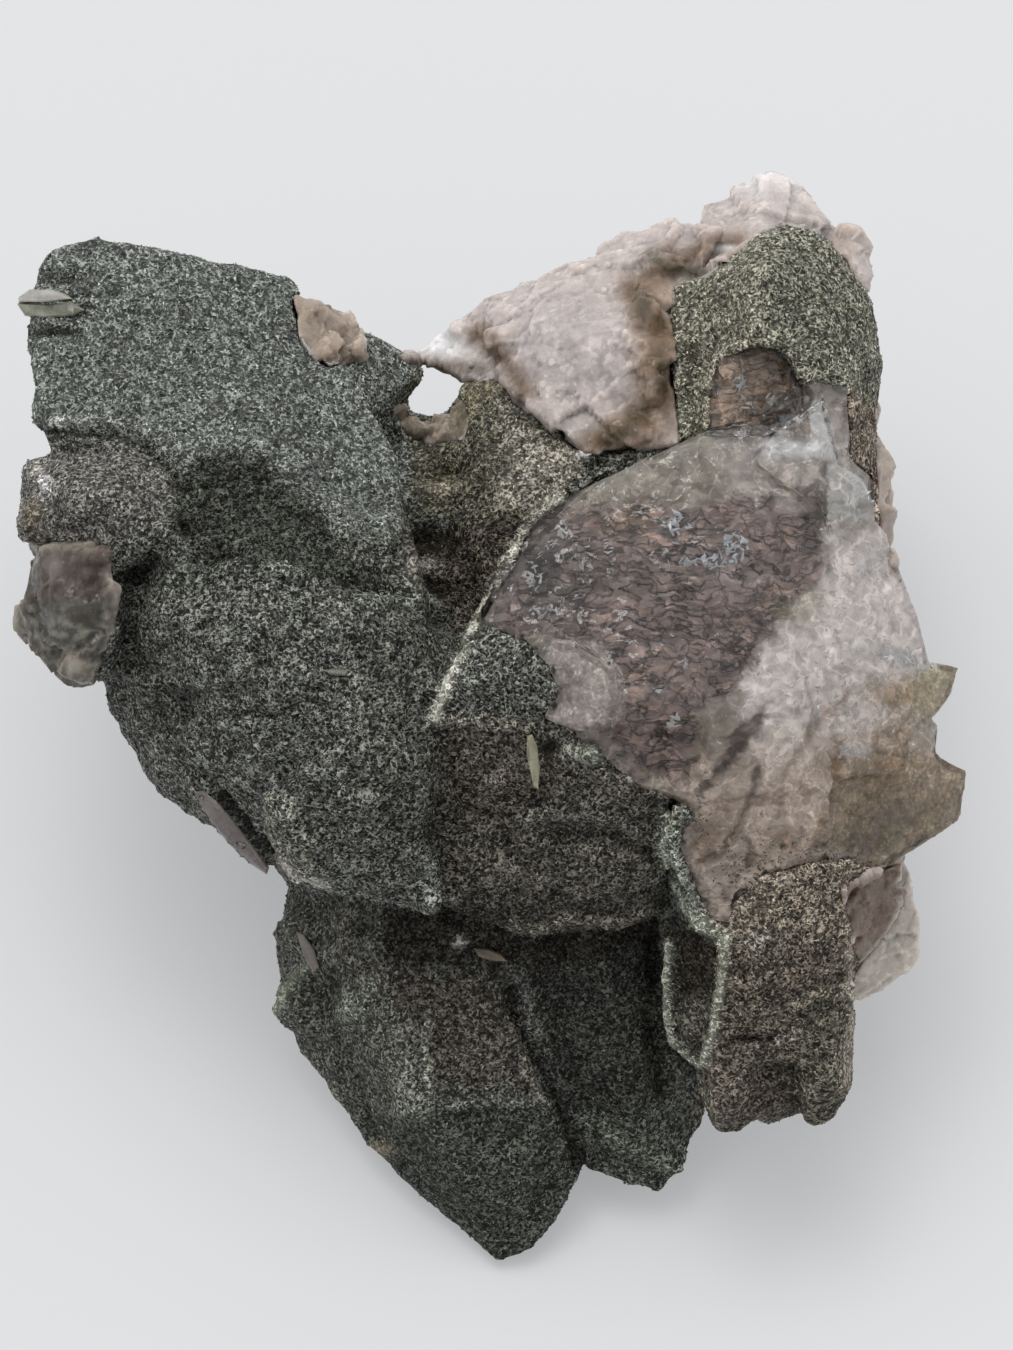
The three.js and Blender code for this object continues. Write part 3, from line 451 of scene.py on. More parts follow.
# The colours of the clouded inside, each over the ones before it
HEART_TINTS = [
    ("upper", (0.60, 0.53, 0.475)),
    ("right", (1, 0.915, 0.865)),
    ("low", (0.95, 0.79, 0.67)),
    ("corner", (0.54, 0.40, 0.26)),
    ("plate", (0.66, 0.56, 0.38)),
    ("green", (0.44, 0.40, 0.22)),
    ("dark", (0.365, 0.262, 0.222)),
    ("lump", (0.66, 0.57, 0.52)),
    ("lobe", (0.78, 0.75, 0.71)),
    ("shard", (0.93, 0.91, 0.89)),
    ("arch", (0.56, 0.40, 0.29)),
]
HEART_MARKS = [
    Spot((3.6, 9.2), (2.8, 4), 0, (0.045, 0.032, 0.025), 0.92),
    Spot((8, 9.6), (2.6, 2.6), 0, (0.17, 0.12, 0.095), 0.65),
    Spot((8.7, 12.5), (2.2, 1), 0, (0.36, 0.21, 0.1), 0.75),
    Spot((20.3, 12.2), (0.9, 1.8), 0, (0.12, 0.1, 0.09), 0.75),
    Spot((15.4, 9.2), (2.2, 1.6), 0, (0.42, 0.38, 0.38), 0.5),
    Line([(18.2, 7.2), (19.4, 6.6), (20.4, 7.6)], 0.8, 0, (0.46, 0.42, 0.27), 0.6),
    Line([(4.6, 14.4), (9, 15.8), (14, 17.6)], 1.2, 0, (0.42, 0.385, 0.31), 0.7),
    Line([(0.6, 6.6), (1.8, 9.8), (4.4, 12.9)], 0.3, 0, (0.1, 0.08, 0.065), 0.9),
    Line([(17.1, 5.9), (16.5, 4.8), (15.9, 3.5)], 0.2, -0.1, (0.08, 0.06, 0.05), 0.95),
    Area([(17.4, 1.2), (17.2, -0.6), (15, -2.9), (13.6, -4.4), (15, -1.2)], 0.2, -0.25, (0.13, 0.09, 0.075),
         0.95),
    Line([(13.7, -4), (13.1, -4.7)], 0.25, -0.2, (0.12, 0.09, 0.07), 0.8),
    Line([(16.9, -3.1), (16.2, -5.2), (15.5, -7), (14.6, -8.3), (13.2, -8.8)], 0.24, -0.25,
         (0.16, 0.1, 0.065), 0.95),
    Line([(15.8, -7), (16.5, -8.1), (16.4, -9.4)], 0.2, -0.2, (0.16, 0.11, 0.07), 0.9),
    Spot((13.6, -7.4), (1.3, 1.6), 0, (0.42, 0.29, 0.18), 0.8),
    Spot((18.4, -7.6), (1.5, 1.2), 0, (0.46, 0.31, 0.2), 0.7),
    Spot((22, -3), (1.2, 1.4), 0, (0.5, 0.33, 0.2), 0.6),
    Line([(25.2, -6.2), (23.8, -8.2), (22.6, -9.8)], 1.5, 0, (0.2, 0.135, 0.08), 0.8),
    Line([(29.6, -5.2), (26.8, -5.8)], 1, 0, (0.24, 0.18, 0.11), 0.6),
    Line([(22.6, 1.6), (20.6, -0.2), (18.6, -3.2), (18.2, -6)], 0.3, -0.15, (0.55, 0.42, 0.34), 0.8),
    Line([(26.6, 0.6), (24.4, -1), (21.8, -4.4), (20.6, -8)], 0.3, 0.15, (0.5, 0.36, 0.24), 0.8),
    Spot((25, -3.2), (2, 1.2), 0, (0.5, 0.33, 0.18), 0.7),
    Spot((15.2, -5.6), (1.2, 1.6), 0, (0.72, 0.55, 0.44), 0.6),
    Line([(21.1, 16.2), (21.2, 12.9)], 0.18, 0, (0.12, 0.1, 0.09), 0.8),
    Spot((23.2, 14.1), (1, 1), 0, WHITE, 0.75),
    Spot((21.8, 11.7), (0.7, 0.5), 0, WHITE, 0.9),
    Spot((24, 10.1), (1.1, 1.3), 0, WHITE, 0.6),
    Spot((23.6, 4.5), (1.2, 0.7), 0, WHITE, 0.65),
    Line([(25.4, 4.4), (26.4, 3.6), (28, 3.7)], 0.5, 0, WHITE, 0.9),
    Line([(22.3, -1.8), (23.6, -2)], 0.4, 0, WHITE, 0.8),
    Spot((27.9, -0.6), (0.7, 0.9), 0, (0.6, 0.58, 0.5), 0.7),
    Line([(19.8, 2.6), (20.2, 0.6), (20, -1)], 0.14, 0, (0.3, 0.25, 0.22), 0.7),
    Spot((18.2, 17.6), (1.3, 1), 0, WHITE, 0.8),
    Spot((25.4, 1.7), (2, 1.1), 0, (0.52, 0.34, 0.19), 0.7),
]

# Groups of bright flecks in the clear crystal, partly fracture planes and partly painted glints: middle,
# spread, count, colour, size
FLECK_GROUPS = [
    ((11.9, 12.2), (0.5, 1), 16, (0.80, 0.86, 0.92), 0.6),
    ((13.4, 10), (1.7, 0.5), 34, (0.80, 0.86, 0.92), 0.55),
    ((15.2, 11), (0.7, 0.9), 26, (0.82, 0.87, 0.92), 0.6),
    # The white groups on the left are partly fracture planes and partly painted glints
    ((4.5, 12.1), (0.5, 0.8), 14, WHITE, 0.5),
    ((2.7, 9), (0.8, 0.9), 26, WHITE, 0.5),
    ((3.3, 6.7), (1, 0.35), 14, WHITE, 0.5),
    ((5.6, 10.4), (0.9, 1.2), 22, (0.8, 0.76, 0.74), 0.35),
    ((4.4, 8), (2, 2.4), 46, (0.6, 0.55, 0.52), 0.28),
    ((7.4, 10.7), (0.3, 0.4), 5, WHITE, 0.45),
    ((5.8, 6.4), (0.7, 0.5), 10, (0.8, 0.74, 0.7), 0.5),
    ((12.3, 3.6), (0.25, 0.4), 4, WHITE, 0.6),
    ((11.5, -0.1), (0.45, 0.4), 8, WHITE, 0.6),
    ((12, 5), (6, 5), 70, (0.5, 0.44, 0.4), 0.22),
    ((23.4, 13.9), (0.7, 0.9), 14, WHITE, 0.5),
    ((24.2, 9.9), (0.8, 1.1), 16, WHITE, 0.5),
    ((26.2, 3.9), (1.2, 0.5), 18, WHITE, 0.6),
    ((22.9, -2), (0.8, 0.4), 10, WHITE, 0.5),
    ((24.5, 0.5), (3.2, 3), 60, (0.85, 0.81, 0.75), 0.35),
    ((20.4, 1.6), (2.4, 1.2), 36, (0.85, 0.8, 0.76), 0.4),
    ((22.4, 8.2), (1.6, 3), 40, (0.85, 0.82, 0.8), 0.35),
    ((22, -7), (5, 2), 70, (0.55, 0.47, 0.33), 0.3),
    ((15.5, -7.2), (1.6, 2.4), 40, (0.72, 0.62, 0.52), 0.35),
    ((16.4, -9.6), (2.6, 1.6), 130, (0.13, 0.13, 0.09), 0.24),
    ((21, -8.2), (3.6, 0.9), 90, (0.13, 0.125, 0.085), 0.24),
    ((13.4, -6.4), (0.7, 2), 40, (0.14, 0.14, 0.1), 0.24),
    ((9, -2.6), (2.6, 1.2), 50, (0.13, 0.13, 0.095), 0.22),
    # Small white flecks over the rim top and the right edge: painted glints
    ((13, 16.6), (5.5, 1.6), 60, WHITE, 0.2),
    ((25.6, 2), (2.6, 6), 60, WHITE, 0.2),
    ((16, 21.4), (0.5, 1.6), 26, WHITE, 0.5),
    ((17.9, 20.3), (0.4, 0.5), 10, WHITE, 0.6),
    ((16.8, 20.6), (1.6, 1.3), 40, (0.6, 0.52, 0.44), 0.35),
]


def to_row(points):
    """Points of the show face, in millimetres, as points of the row frame, in metres."""
    return (np.asarray(points, float) @ TO_ROW.T + ROW_SHIFT) * MM


def to_face(points):
    """Points of the row frame, in metres, as points of the show face, in millimetres."""
    return (np.asarray(points, float) / MM - ROW_SHIFT) @ TO_ROW


# Random patterns that depend on the place alone
def hashed(cell, seed):
    """A number from 0 to 1 for each whole-numbered cell. The large factors only scatter its bits."""
    mixed = cell[..., 0] * 73856093 ^ cell[..., 1] * 19349663 ^ cell[..., 2] * 83492791
    mixed = (mixed + seed * 40503) & 0xFFFFFFFF
    mixed = ((mixed ^ (mixed >> 15)) * 2246822519) & 0xFFFFFFFF
    mixed = ((mixed ^ (mixed >> 13)) * 3266489917) & 0xFFFFFFFF
    return (mixed ^ (mixed >> 16)) / 2**32


def hashed_point(cell, seed):
    return np.stack([hashed(cell, seed + k) for k in range(3)], 1)


def noise(points, size, seed):
    """Smooth random values, mostly from -1 to 1, with humps about `size` across."""
    scaled = points / size
    cell = np.floor(scaled).astype(np.int64)
    part = scaled - cell
    fade = part * part * part * (part * (part * 6 - 15) + 10)
    total = np.zeros(len(points))
    for corner in np.ndindex(2, 2, 2):
        slope = hashed_point(cell + np.array(corner), seed) * 2 - 1
        weight = np.prod(np.where(corner, fade, 1 - fade), axis=1)
        total += weight * ((part - corner) * slope).sum(1)
    return total * 1.6


def rough(points, size, seed, octaves=3):
    """Noise with finer and fainter noise on it."""
    return sum(noise(points, size / 2**k, seed + 10 * k) / 2**k for k in range(octaves))


def facets(points, size, seed, slope, step):
    """Heights of a surface broken into tilted facets about `size` across, with small steps between."""
    scaled = points / size
    base = np.floor(scaled).astype(np.int64)
    nearest = np.full(len(points), np.inf)
    height = np.zeros(len(points))
    for shift in np.ndindex(3, 3, 3):
        cell = base + np.array(shift) - 1
        offset = scaled - cell - hashed_point(cell, seed)
        gap = (offset**2).sum(1)
        closer = gap < nearest
        nearest[closer] = gap[closer]
        cell, offset = cell[closer], offset[closer]
        tilt = hashed_point(cell, seed + 5) * 2 - 1
        height[closer] = ((offset * tilt).sum(1) * slope + (hashed(cell, seed + 9) - 0.5) * step) * size
    return height


# Places on the show face
def line_distance(points, line):
    """How far each point is from a line, seen along z."""
    x, y = points[:, 0], points[:, 1]
    nearest = np.full(len(points), np.inf)
    for (ax, ay), (bx, by) in zip(line, line[1:]):
        ex, ey = bx - ax, by - ay
        share = np.clip(((x - ax) * ex + (y - ay) * ey) / (ex * ex + ey * ey), 0, 1)
        nearest = np.minimum(nearest, np.hypot(x - ax - share * ex, y - ay - share * ey))
    return nearest


def depth_inside(points, outline):
    """How far each point is inside an outline, seen along z. It is negative outside."""
    closed = [*outline, outline[0]]
    x, y = points[:, 0], points[:, 1]
    inside = np.zeros(len(points), bool)
    for (ax, ay), (bx, by) in zip(closed, closed[1:]):
        if ay != by:
            inside ^= ((ay > y) != (by > y)) & (x < (bx - ax) * (y - ay) / (by - ay) + ax)
    return np.where(inside, 1, -1) * line_distance(points, closed)


def smooth(value, low, high):
    """0 below low and 1 above high, with an even ramp between."""
    share = np.clip((value - low) / (high - low), 0, 1)
    return share * share * (3 - 2 * share)


def within(points, outline, blur, ragged, seed=0):
    """1 inside an outline and 0 outside, with a soft and ragged edge."""
    wander = ragged * rough(points, 1.6, seed + 50)
    return smooth(depth_inside(points, outline) + wander, -blur, blur)


def extent(points, mark, wander):
    """How much each point belongs to a mark, from 0 to 1."""
    if mark.kind == "spot":
        wide, high = mark.reach
        x, y = mark.where
        far = np.hypot((points[:, 0] - x) / wide, (points[:, 1] - y) / high)
        return np.exp(-1.4 * np.maximum(far + 0.3 * wander, 0) ** 2.4)
    if mark.kind == "line":
        far = line_distance(points, mark.where) / mark.reach
        return np.exp(-1.2 * np.maximum(far + 0.35 * wander, 0) ** 2)
    return smooth(depth_inside(points, mark.where) + 0.25 * wander, -mark.reach, mark.reach)


def marked(points, marks, tint):
    """The marks' height and colour on the tint, and how far they are bare."""
    wander = rough(points, 0.9, 301)
    height = np.zeros(len(points))
    bare = np.zeros(len(points))
    for mark in marks:
        share = extent(points, mark, wander)
        height += mark.height * share
        bare = np.maximum(bare, mark.bare * share)
        if mark.colour:
            tint = washed(tint, mark.share * share, mark.colour)
    return height, tint, bare


def washed(colours, share, colour):
    """Colours with another colour laid over them where the share is above 0."""
    share = np.asarray(share)[:, None]
    return colours * (1 - share) + np.array(colour) * share


def unit(ways):
    """Each row as a way of length one."""
    return ways / np.linalg.norm(ways, axis=1)[:, None]


def grown(outline, by):
    """An outline moved outwards by a distance."""
    here = np.array(outline)
    along = unit(np.roll(here, -1, 0) - here) + unit(here - np.roll(here, 1, 0))
    along /= np.maximum(np.linalg.norm(along, axis=1), 1e-6)[:, None]
    area = (here[:, 0] * np.roll(here[:, 1], -1) - here[:, 1] * np.roll(here[:, 0], -1)).sum()
    turn = np.sign(area) * by
    return [tuple(p) for p in here + np.stack([along[:, 1], -along[:, 0]], 1) * turn]


def uneven(outline, amount=0.22):
    """An outline with its straight stretches broken into small irregular steps."""
    points = []
    for start, end in zip(outline, [*outline[1:], outline[0]]):
        start, end = np.array(start, float), np.array(end, float)
        count = max(1, round(np.linalg.norm(end - start) / EDGE_STEP))
        points += [start + (end - start) * k / count for k in range(count)]
    flat = np.array([[x, y, 0] for x, y in points])
    shift = np.stack([rough(flat, 1.3, seed) for seed in (71, 72)], 1) * amount
    return [tuple(p) for p in np.array(points) + shift]


# Meshes
def read(items, field, width, kind):
    """A field of a mesh's points, edges or triangles, as rows of numbers."""
    values = np.empty(len(items) * width, kind)
    items.foreach_get(field, values)
    return values.reshape(-1, width)


def coords(obj):
    return read(obj.data.vertices, "co", 3, np.float32).astype(float)


def normals(obj):
    return read(obj.data.vertex_normals, "vector", 3, np.float32).astype(float)


def edges(obj):
    return read(obj.data.edges, "vertices", 2, np.int32)


def triangles(obj):
    obj.data.calc_loop_triangles()
    return read(obj.data.loop_triangles, "vertices", 3, np.int32)


def on_face(obj):
    """The mesh's points in the show face's frame, in millimetres."""
    return to_face(coords(obj))


def facing(obj):
    """How far each point of a mesh faces out of the show face: 1 is straight out and -1 straight in."""
    return (normals(obj) @ TO_ROW)[:, 2]


def move_to(obj, points):
    obj.data.vertices.foreach_set("co", np.asarray(points, np.float32).ravel())
    obj.data.update()


def raise_surface(obj, height):
    """Moves the points out along their normals by heights in millimetres."""
    move_to(obj, coords(obj) + normals(obj) * (np.asarray(height) * MM)[:, None])


def new_object(name, data):
    obj = bpy.data.objects.new(name, data)
    bpy.context.scene.collection.objects.link(obj)
    return obj


def new_mesh(name, points, faces):
    """A mesh of triangles."""
    faces = np.asarray(faces, np.int32)
    mesh = bpy.data.meshes.new(name)
    mesh.vertices.add(len(points))
    mesh.vertices.foreach_set("co", np.asarray(points, np.float32).ravel())
    mesh.loops.add(faces.size)
    mesh.loops.foreach_set("vertex_index", faces.ravel())
    mesh.polygons.add(len(faces))
    mesh.polygons.foreach_set("loop_start", np.arange(0, faces.size, 3, dtype=np.int32))
    mesh.update(calc_edges=True)
    return mesh


def repeated(faces, count, step):
    """The faces of many alike pieces, each with a number of points of its own."""
    start = np.arange(count)[:, None] * step
    return np.concatenate([start + np.array(face) for face in faces])


def copy_of(obj, name):
    return new_object(name, obj.data.copy())


def discard(obj):
    mesh = obj.data
    bpy.data.objects.remove(obj)
    bpy.data.meshes.remove(mesh)


def modify(obj, kind, **settings):
    """Runs a modifier on an object and keeps the result as its mesh."""
    modifier = obj.modifiers.new("change", kind)
    for key, value in settings.items():
        setattr(modifier, key, value)
    depsgraph = bpy.context.evaluated_depsgraph_get()
    result = bpy.data.meshes.new_from_object(obj.evaluated_get(depsgraph))
    obj.modifiers.clear()
    before, obj.data = obj.data, result
    bpy.data.meshes.remove(before)


def combine(obj, other, operation):
    """Joins, cuts or crosses a solid with another, which is used up."""
    modify(obj, "BOOLEAN", object=other, operation=operation, solver="MANIFOLD")
    discard(other)


def remesh(obj, size):
    """Rebuilds a solid with even faces of a size in millimetres."""
    modify(obj, "REMESH", mode="VOXEL", voxel_size=size * MM)


def edit(obj, change):
    """Runs a change on the mesh's bmesh."""
    work = bmesh.new()
    work.from_mesh(obj.data)
    change(work)
    work.to_mesh(obj.data)
    work.free()


def prism(outline, low, high=FAR):
    """A straight block over an outline of the show face, from z low to z high."""
    count = len(outline)
    points = [(x, y, z) for z in (low, high) for x, y in outline]
    mesh = bpy.data.meshes.new("prism")
    faces = [list(range(count))[::-1], list(range(count, 2 * count))]
    faces += [(k, (k + 1) % count, count + (k + 1) % count, count + k) for k in range(count)]
    mesh.from_pydata([tuple(p) for p in to_row(points)], [], faces)
    block = new_object("prism", mesh)
    edit(block, lambda work: bmesh.ops.recalc_face_normals(work, faces=work.faces))
    edit(block, lambda work: bmesh.ops.triangulate(work, faces=work.faces))
    return block


def whole_cluster():
    """The cluster's solid with its shared points merged."""
    solid = copy_of(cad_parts["quartz_cluster"], "whole")
    edit(solid, lambda work: bmesh.ops.remove_doubles(work, verts=work.verts, dist=1e-7))
    return solid


def fill_gap(solid):
    """A mound of crust in the narrow gap left of the broken crystal."""
    work = bmesh.new()
    bmesh.ops.create_icosphere(work, subdivisions=3, radius=1)
    mesh = bpy.data.meshes.new("mound")
    work.to_mesh(mesh)
    work.free()
    mound = new_object("mound", mesh)
    move_to(mound, to_row(coords(mound) * MOUND_RADII + MOUND_MIDDLE))
    combine(solid, mound, "UNION")


def part_of(solid, outline, low, name):
    """The part of a solid over an outline of the show face."""
    part = copy_of(solid, name)
    combine(part, prism(outline, low), "INTERSECT")
    return part


def take_from(solid, outline, low, high=FAR):
    combine(solid, prism(outline, low, high), "DIFFERENCE")


def averaged(points, ends):
    """The middle of each point's neighbours."""
    count = len(points)
    total = np.zeros_like(points)
    for k in range(3):
        total[:, k] += np.bincount(ends[:, 0], points[ends[:, 1], k], count)
        total[:, k] += np.bincount(ends[:, 1], points[ends[:, 0], k], count)
    return total / np.bincount(ends.ravel(), minlength=count)[:, None]


def soften(obj, weight, rounds):
    """Rounds edges off, most where the weight is 1."""
    points, ends = coords(obj), edges(obj)
    share = 0.5 * np.clip(np.broadcast_to(weight, len(points)), 0, 1)[:, None]
    for _ in range(rounds):
        points += (averaged(points, ends) - points) * share
    move_to(obj, points)


def cavity(obj, rounds):
    """How far each point stands above the smoothed surface, in millimetres. Hollows are negative."""
    points, ends = coords(obj), edges(obj)
    even = points.copy()
    for _ in range(rounds):
        even = (even + averaged(even, ends)) / 2
    return ((points - even) * normals(obj)).sum(1) / MM


def above_floor(obj, height):
    """Relief that fades out where the cluster rests on the floor."""
    rise = coords(obj)[:, 2] / MM
    return height * smooth(rise, 0.05, 1.2)


def store(obj, name, values):
    """Keeps a number or a colour at each point, for the materials."""
    values = np.asarray(values, np.float32)
    if values.ndim == 1:
        obj.data.attributes.new(name, "FLOAT", "POINT").data.foreach_set("value", values)
    else:
        rgba = np.concatenate([values, np.ones((len(values), 1), np.float32)], 1)
        obj.data.attributes.new(name, "FLOAT_COLOR", "POINT").data.foreach_set("color", rgba.ravel())


def finish_piece(obj, material, smooth_faces=True):
    """Makes a finished mesh a piece of the cluster, with its material."""
    mesh = obj.data
    mesh.materials.clear()
    mesh.materials.append(material)
    mesh.polygons.foreach_set("material_index", [0] * len(mesh.polygons))
    mesh.polygons.foreach_set("use_smooth", [smooth_faces] * len(mesh.polygons))
    mesh.update()
    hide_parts("quartz_cluster")
    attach(obj, "root")


# Materials
class Nodes:
    """A material's node tree, with short ways to add and link nodes."""

    def __init__(self, name):
        self.material = bpy.data.materials.new(name)
        self.material.use_nodes = True
        self.tree = self.material.node_tree
        self.tree.nodes.clear()
        self.output = self.add("OutputMaterial")
        self.surface = self.add("BsdfPrincipled")
        self.link(self.surface.outputs[0], self.output.inputs["Surface"])

    def add(self, kind, **settings):
        node = self.tree.nodes.new("ShaderNode" + kind)
        for key, value in settings.items():
            setattr(node, key, value)
        return node

    def link(self, start, end):
        self.tree.links.new(start, end)

    def fill(self, socket, value):
        """Links a socket, or sets it if the value is plain."""
        if isinstance(value, bpy.types.NodeSocket):
            self.link(value, socket)
        else:
            socket.default_value = value

    def finish(self, **values):
        """Sets or links the shader's sockets, and gives the material."""
        for key, value in values.items():
            self.fill(self.surface.inputs[key.replace("_", " ")], value)
        return self.material

    def stored(self, name, output="Fac"):
        return self.add("Attribute", attribute_name=name).outputs[output]

    def tinted(self, level):
        """The tint stored on the mesh, at a level."""
        return self.vector("SCALE", self.stored("tint", "Color"), level)

    def place(self):
        """The place on the cluster, turned into the show face's frame, in millimetres."""
        turned = self.add("Mapping")
        turned.inputs["Rotation"].default_value = (-RECLINE, 0, 0)
        turned.inputs["Scale"].default_value = (1 / MM, 1 / MM, 1 / MM)
        self.link(self.add("TexCoord").outputs["Object"], turned.inputs["Vector"])
        return turned.outputs[0]

    def vector(self, operation, first, second=(0, 0, 0)):
        node = self.add("VectorMath", operation=operation)
        self.fill(node.inputs[0], first)
        self.fill(node.inputs["Scale" if operation == "SCALE" else 1], second)
        return node.outputs[0]

    def maths(self, operation, first, second=0):
        node = self.add("Math", operation=operation)
        self.fill(node.inputs[0], first)
        self.fill(node.inputs[1], second)
        return node.outputs[0]

    def times(self, *levels):
        return reduce(partial(self.maths, "MULTIPLY"), levels)

    def noise(self, size, detail=2.0, place=None, output="Fac"):
        """Noise with humps of a size in millimetres."""
        node = self.add("TexNoise")
        node.inputs["Scale"].default_value = 1
        node.inputs["Detail"].default_value = detail
        scaled = self.vector("MULTIPLY", place or self.place(), (1 / size, 1 / size, 1 / size))
        self.link(scaled, node.inputs["Vector"])
        return node.outputs[output]

    def grains(self, size, place=None, output="Color"):
        """Grains of a size in millimetres, each with a colour of its own."""
        node = self.add("TexVoronoi")
        node.inputs["Scale"].default_value = 1 / size
        self.link(place or self.place(), node.inputs["Vector"])
        return node.outputs[output]

    def split(self, colour):
        """The red, green and blue of a colour."""
        node = self.add("SeparateColor")
        self.link(colour, node.inputs[0])
        return node.outputs

    def warped(self, size, amount):
        """The place, shifted this way and that, so that patterns bend."""
        shift = self.vector("SUBTRACT", self.noise(size, 1, output="Color"), (0.5, 0.5, 0.5))
        return self.vector("ADD", self.place(), self.vector("SCALE", shift, amount))

    def ramp(self, source, *stops):
        node = self.add("ValToRGB")
        elements = node.color_ramp.elements
        while len(elements) < len(stops):
            elements.new(0.5)
        for element, (position, level) in zip(elements, stops):
            element.position = position
            element.color = (level, level, level, 1)
        self.link(source, node.inputs["Fac"])
        return node.outputs["Color"]

    def threads(self, source, *stops):
        """Levels by how far a noise is from its middle value, so that they follow winding lines."""
        return self.ramp(self.maths("ABSOLUTE", self.maths("SUBTRACT", source, 0.5)), *stops)

    def blend(self, share, level):
        """A level that is 1 where the share is 0."""
        return self.maths("ADD", self.times(self.maths("SUBTRACT", level, 1.0), share), 1.0)

    def bump(self, height, depth):
        """A relief whose depth is in millimetres."""
        node = self.add("Bump")
        node.inputs["Distance"].default_value = depth * MM
        self.link(height, node.inputs["Height"])
        return node.outputs["Normal"]

    def leaning(self, colour, normal, amount):
        """A normal that leans another way in each grain."""
        lean = self.vector("SCALE", self.vector("SUBTRACT", colour, (0.5, 0.5, 0.5)), 2 * amount)
        return self.vector("NORMALIZE", self.vector("ADD", normal, lean))


def crust_material():
    """Chlorite: winding bright threads and grains on a dark ground. The threads and grains are partly the
    flakes' own tone and partly painted glints; the dark ground and the pits are partly painted shade
    between the flakes.
    """
    nodes = Nodes("chlorite_crust")
    harsh, coat = nodes.stored("harsh"), nodes.stored("coat")
    threads = nodes.threads(nodes.noise(0.30, 1), (0, 1.0), (0.045, 0.75), (0.11, 0.12), (0.3, 0))
    grains = nodes.grains(0.26)
    shine, shade, _ = nodes.split(grains)
    brightness = nodes.ramp(shine, (0, 0.1), (0.4, 0.4), (0.8, 1.0), (1, 1.0))
    gain = nodes.maths("ADD", nodes.times(harsh, 3.2), 1.9)
    # Painted shade: dark pits between the flakes, with no hollows under them
    pit_shade = nodes.ramp(nodes.noise(0.6), (0.34, 0.0), (0.5, 1.0))
    pit_shaded = nodes.blend(nodes.times(harsh, 0.5), pit_shade)
    light = nodes.times(threads, brightness, gain, pit_shaded)
    ground = nodes.maths("SUBTRACT", 0.36, nodes.times(harsh, 0.30))
    ground = nodes.times(ground, nodes.ramp(shade, (0, 0.3), (1, 1.0)))
    level = nodes.blend(coat, nodes.maths("ADD", light, ground))
    relief = nodes.bump(nodes.times(threads, coat), 0.08)
    return nodes.finish(
        Base_Color=nodes.tinted(level), Normal=nodes.leaning(grains, relief, 0.3), Roughness=0.6,
        IOR=CRUST_IOR, Specular_IOR_Level=0.1,
    )


def flake_material():
    """Single chlorite flakes, with a pearly shine."""
    nodes = Nodes("chlorite_flakes")
    tint = nodes.stored("tint", "Color")
    return nodes.finish(Base_Color=tint, Roughness=0.4, IOR=CRUST_IOR, Specular_IOR_Level=0.3)


def milky_material():
    """Milky quartz, broken and glassy, clouded inside. Its brightest grains are painted sparkle."""
    nodes = Nodes("milky_quartz")
    cloud = nodes.ramp(nodes.noise(1.6, 4, nodes.warped(3, 1.5)), (0.25, 0.80), (0.75, 1.12))
    small = nodes.grains(0.33)
    # The grains' own tone, with the brightest grains as painted sparkle
    sugar_and_sparkle = nodes.ramp(nodes.split(small)[0], (0, 0.9), (0.6, 0.99), (0.93, 1.04), (1, 1.2))
    gloss = nodes.ramp(nodes.noise(0.9, 3), (0.35, 0.14), (0.65, 0.42))
    large = nodes.grains(1.1, nodes.warped(1.5, 1.0))
    relief = nodes.bump(nodes.noise(0.5, 4), 0.06)
    return nodes.finish(
        Base_Color=nodes.tinted(nodes.times(cloud, sugar_and_sparkle)), Roughness=gloss,
        Normal=nodes.leaning(large, nodes.leaning(small, relief, 0.2), 0.2), IOR=QUARTZ_IOR,
        Subsurface_Weight=0.8, Subsurface_Radius=(1.0, 0.85, 0.8), Subsurface_Scale=0.9 * MM,
    )


def heart_material():
    """The broken crystal's clouded and fractured inside, seen through its clear skin."""
    nodes = Nodes("smoky_heart")
    fracture = nodes.stored("fracture")
    bent = nodes.warped(1.8, 0.9)
    flat = nodes.vector("MULTIPLY", bent, (0.6, 1.5, 1.0))
    plates = nodes.grains(0.7, flat)
    sheets = nodes.ramp(nodes.split(plates)[0], (0, 0.52), (0.5, 0.9), (0.85, 1.15), (1, 1.8))
    open_parts = nodes.ramp(nodes.noise(1.3, 2, bent), (0.42, 0.35), (0.60, 1.0))
    cracks = nodes.threads(nodes.noise(0.85, 3, flat), (0, 0.1), (0.02, 0.4), (0.06, 0.95), (0.2, 1.1))
    cracks = nodes.blend(open_parts, cracks)
    splits = nodes.threads(nodes.noise(2.4, 3, bent), (0, 0.15), (0.01, 0.55), (0.025, 1.0))
    broken = nodes.times(sheets, cracks, splits)
    frost = nodes.threads(nodes.noise(1.7, 4, bent), (0, 1.6), (0.012, 1.2), (0.03, 1.0))
    fine = nodes.ramp(nodes.grains(0.26, output="Distance"), (0, 1.45), (0.35, 1.05), (0.8, 0.65))
    cloud = nodes.ramp(nodes.noise(0.8, 5), (0.32, 0.72), (0.66, 1.2))
    level = nodes.times(nodes.blend(fracture, broken), nodes.times(cloud, frost))
    level = nodes.times(level, nodes.blend(nodes.stored("speckle"), fine))
    relief = nodes.bump(nodes.times(cracks, fracture), 0.1)
    lean = nodes.leaning(plates, relief, 0.3)
    return nodes.finish(Base_Color=nodes.tinted(level), Normal=lean, Roughness=0.35, IOR=QUARTZ_IOR)


def fleck_material():
    """Bright flecks inside the clear crystal: fracture planes, some of them painted glints."""
    nodes = Nodes("fracture_and_glint_flecks")
    return nodes.finish(Base_Color=nodes.stored("tint", "Color"), Roughness=0.3, IOR=QUARTZ_IOR)


